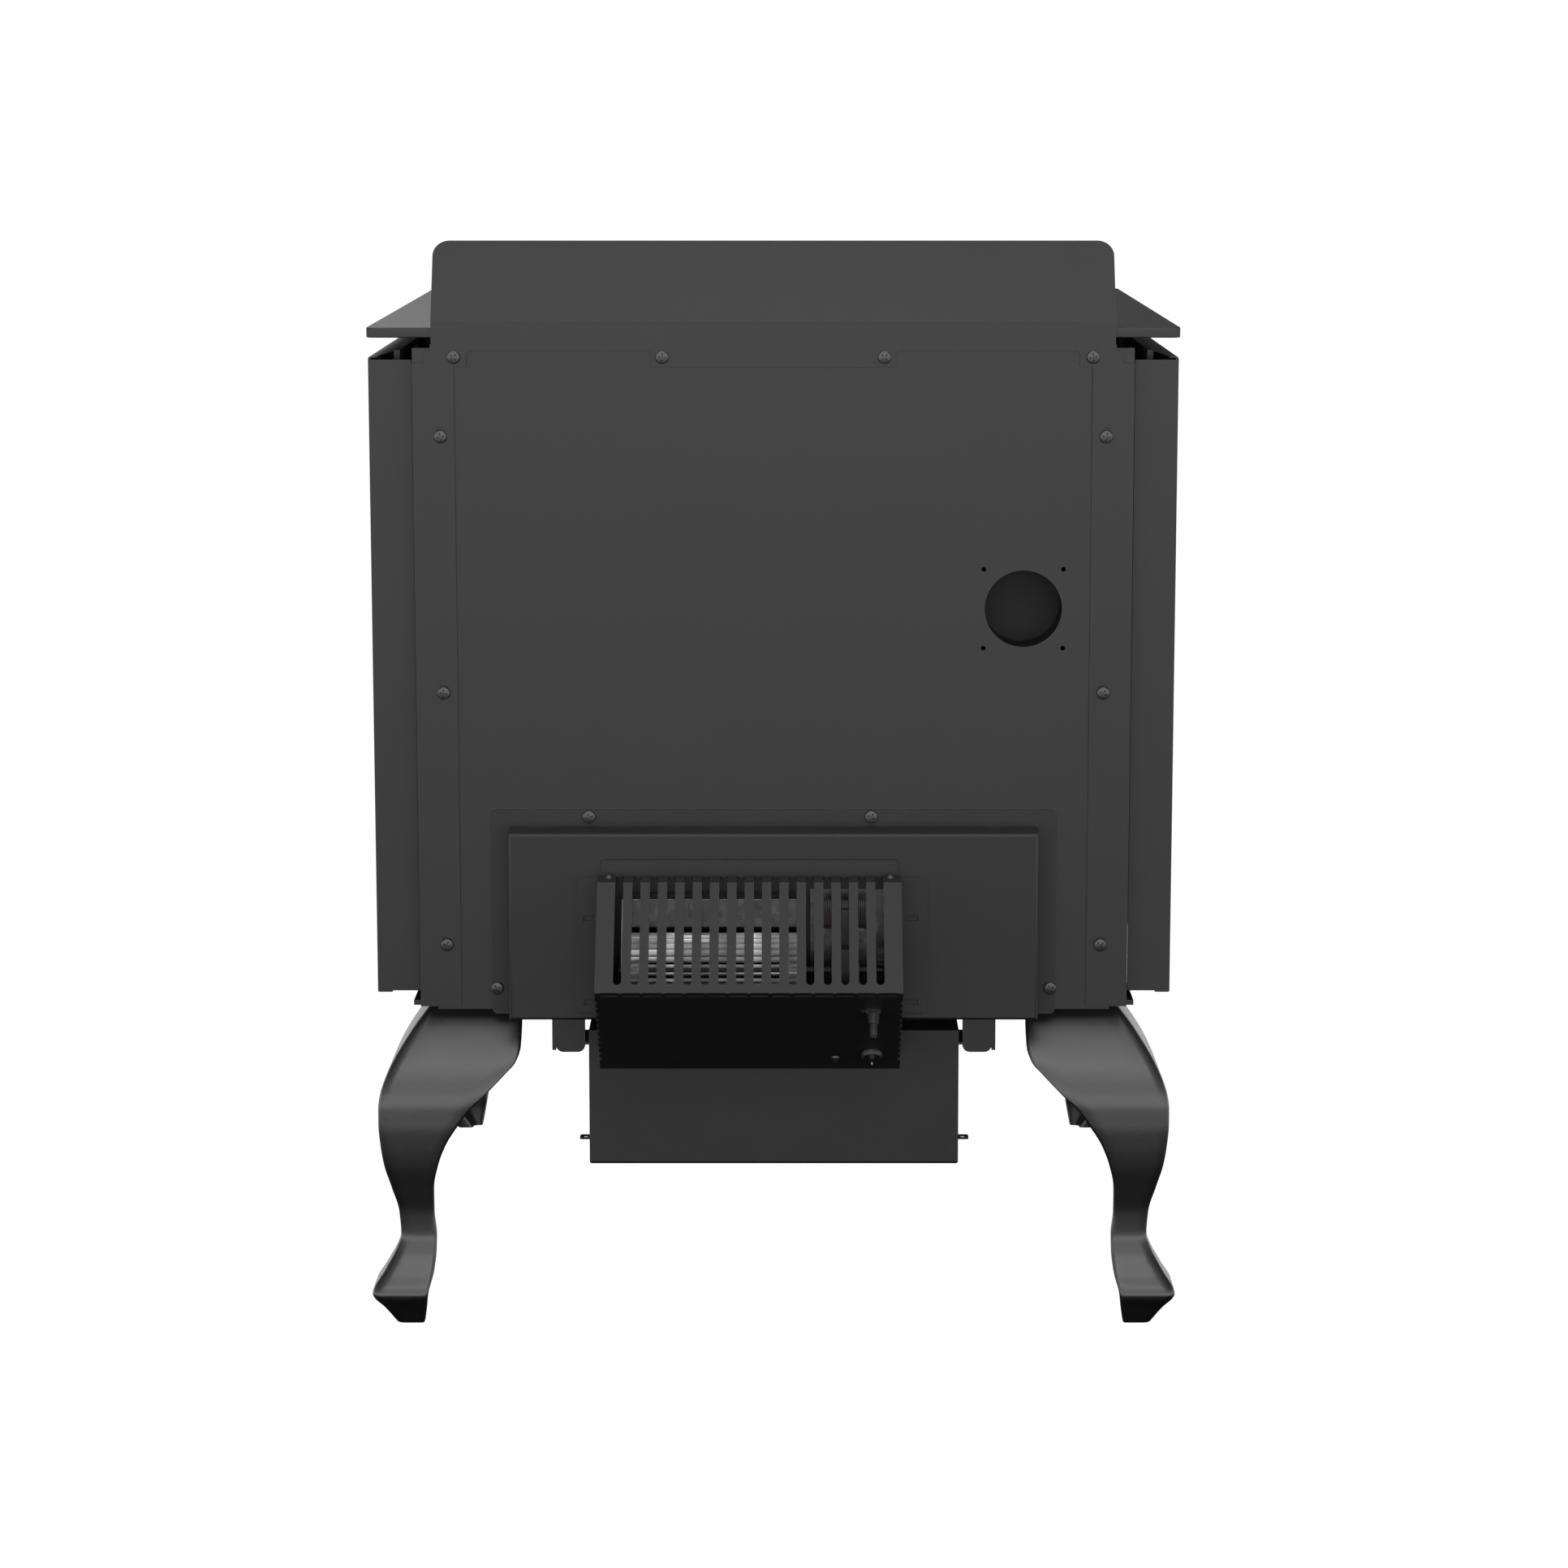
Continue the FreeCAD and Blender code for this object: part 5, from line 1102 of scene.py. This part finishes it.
def makeCoil(look):
    low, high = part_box("motor_coil")
    radius = look["wire"]
    turns = int((high.x - low.x) / (2 * radius))
    pitch = (high.x - low.x - 2 * radius) / (turns - 1)
    flat = roundedLoop(low.y + radius, high.y - radius, low.z + radius, high.z - radius, 0.0,
                       look["corner"], look["spacing"])
    points = []
    faces = []
    for turn in range(turns):
        x = low.x + radius + turn * pitch
        loop = [Vector((x, p.x, p.z)) for p in flat]
        made, rings = swept(loop, lambda angle, distance: radius * look["fit"], look["steps"],
                            Vector((1, 0, 0)))
        faces += shiftedFaces(rings, len(points))
        points += made
    pieceFrom("coil_winding", points, faces, "coil_lacquer", "stove", ("motor_coil",))


makeCoil(coilLook)
print("handle, knobs, cord and coil made")


# Studio: pale floor, soft light, and the camera

studio = {
    "floorHalf": 9.0,
    "floorDrop": 0.0002,
    "floorShine": 1.12,               # the floor's glow in the camera's view
    "floorGlow": 0.88,                # share of that glow, the rest is lit paper
    "floorNear": 0.70,                # met more steeply than this, the floor lights nothing
    "floorFar": 2.6,                  # light that comes off the floor at the lowest angle
    "skyStops": ((0.44, 0.2), (0.475, 2.5), (0.57, 2.4), (0.72, 0.25), (1.0, 0.9)),
    "skyFront": 0.07,                 # how bright the sky is towards the door side
    "skyTurn": (-0.4, 0.6),           # from the door side to the rear, where it turns bright
    "backdrop": 1.05,                 # what the camera sees of the sky
}


def makeFloor(look):
    mesh = bpy.data.meshes.new("studioFloor")
    grid = bmesh.new()
    bmesh.ops.create_grid(grid, x_segments=12, y_segments=12, size=look["floorHalf"])
    grid.to_mesh(mesh)
    grid.free()
    floor = bpy.data.objects.new("studioFloor", mesh)
    floor.location = (0.0, 0.0, -look["floorDrop"])
    bpy.context.scene.collection.objects.link(floor)
    material = bpy.data.materials.new("paleFloor")
    material.use_nodes = True
    tree = material.node_tree
    tree.nodes.remove(tree.nodes["Principled BSDF"])
    out = tree.nodes["Material Output"]
    paper = addNode(tree, "ShaderNodeBsdfDiffuse", {"Color": (0.9, 0.9, 0.9, 1.0)})
    white = (1.0, 1.0, 1.0, 1.0)
    quiet = addNode(tree, "ShaderNodeEmission", {"Color": white})
    facing = addNode(tree, "ShaderNodeLayerWeight", {"Blend": 0.5})
    spread = {"From Min": look["floorNear"], "To Max": look["floorFar"]}
    lowAngle = addNode(tree, "ShaderNodeMapRange", spread)
    tree.links.new(facing.outputs["Facing"], lowAngle.inputs["Value"])
    tree.links.new(lowAngle.outputs["Result"], quiet.inputs["Strength"])
    glow = addNode(tree, "ShaderNodeEmission", {"Color": white, "Strength": look["floorShine"]})
    lit = addNode(tree, "ShaderNodeMixShader", {"Fac": look["floorGlow"]})
    tree.links.new(paper.outputs[0], lit.inputs[1])
    tree.links.new(glow.outputs[0], lit.inputs[2])
    seen = addNode(tree, "ShaderNodeMixShader")
    tree.links.new(tree.nodes.new("ShaderNodeLightPath").outputs["Is Camera Ray"], seen.inputs["Fac"])
    tree.links.new(quiet.outputs[0], seen.inputs[1])
    tree.links.new(lit.outputs[0], seen.inputs[2])
    tree.links.new(seen.outputs[0], out.inputs["Surface"])
    mesh.materials.append(material)


def makeSky(look):
    world = bpy.data.worlds.new("studioSky")
    world.use_nodes = True
    tree = world.node_tree
    back = tree.nodes["Background"]
    place = tree.nodes.new("ShaderNodeTexCoord").outputs["Generated"]
    split = tree.nodes.new("ShaderNodeSeparateXYZ")
    tree.links.new(place, split.inputs["Vector"])
    ramp = tree.nodes.new("ShaderNodeValToRGB")
    level = addNode(tree, "ShaderNodeMapRange", {"From Min": -1.0, "From Max": 1.0})
    tree.links.new(split.outputs["Z"], level.inputs["Value"])
    tree.links.new(level.outputs["Result"], ramp.inputs["Fac"])
    stops = look["skyStops"]
    strongest = max(value for spot, value in stops)
    back.inputs["Strength"].default_value = strongest
    while len(ramp.color_ramp.elements) < len(stops):
        ramp.color_ramp.elements.new(0.5)
    for element, (spot, value) in zip(ramp.color_ramp.elements, stops):
        element.position = spot
        shade = value / strongest
        element.color = (shade, shade, shade, 1.0)
    plain = {"Color": (1.0, 1.0, 1.0, 1.0), "Strength": look["backdrop"]}
    white = addNode(tree, "ShaderNodeBackground", plain)
    pick = tree.nodes.new("ShaderNodeMixShader")
    tree.links.new(tree.nodes.new("ShaderNodeLightPath").outputs["Is Camera Ray"], pick.inputs["Fac"])
    darkEnd, brightEnd = look["skyTurn"]
    rearward = {"From Min": darkEnd, "From Max": brightEnd, "To Min": look["skyFront"]}
    sideways = addNode(tree, "ShaderNodeMapRange", rearward)
    tree.links.new(split.outputs["Y"], sideways.inputs["Value"])
    shaded = addNode(tree, "ShaderNodeMix", {0: 1.0}, data_type="RGBA", blend_type="MULTIPLY")
    tree.links.new(ramp.outputs["Color"], shaded.inputs[6])
    tree.links.new(sideways.outputs["Result"], shaded.inputs[7])
    tree.links.new(shaded.outputs[2], back.inputs["Color"])
    tree.links.new(back.outputs[0], pick.inputs[1])
    tree.links.new(white.outputs[0], pick.inputs[2])
    tree.links.new(pick.outputs[0], tree.nodes["World Output"].inputs["Surface"])
    bpy.context.scene.world = world


def addSoftbox(name, place, target, size, power):
    data = bpy.data.lights.new(name, "AREA")
    data.shape = "RECTANGLE"
    data.size, data.size_y = size
    data.energy = power
    lamp = bpy.data.objects.new(name, data)
    lamp.location = place
    lamp.rotation_euler = (Vector(target) - Vector(place)).to_track_quat("-Z", "Y").to_euler()
    lamp.visible_camera = False
    bpy.context.scene.collection.objects.link(lamp)


softboxes = {
    "overheadSoftbox": {"place": (0.0, 0.3, 4.2), "size": (3.6, 1.8), "power": 45.0},
    "rearSoftbox": {"place": (0.0, 3.3, 2.95), "size": (3.4, 1.1), "power": 40.0},
    "frontSoftbox": {"place": (1.2, -3.2, 2.9), "size": (2.6, 2.0), "power": 30.0},
}

softboxTarget = (0.0, 0.0, 0.45)

cameraLook = {
    "place": (-0.0124, 3.2703, 0.9884),
    "tiltDown": 8.497,
    "lens": 88.23,
    "shift": (-0.0033, -0.08),
}


def makeCamera(look):
    data = bpy.data.cameras.new("studioCamera")
    data.sensor_width = 36.0
    data.lens = look["lens"]
    data.shift_x, data.shift_y = look["shift"]
    data.clip_start = 0.05
    camera = bpy.data.objects.new("studioCamera", data)
    camera.location = look["place"]
    camera.rotation_euler = (math.radians(90 - look["tiltDown"]), 0.0, math.radians(180))
    bpy.context.scene.collection.objects.link(camera)
    bpy.context.scene.camera = camera


makeFloor(studio)
makeSky(studio)
for name, box in softboxes.items():
    addSoftbox(name, box["place"], softboxTarget, box["size"], box["power"])
makeCamera(cameraLook)
bpy.context.scene.view_settings.view_transform = "Standard"
print("studio ready")
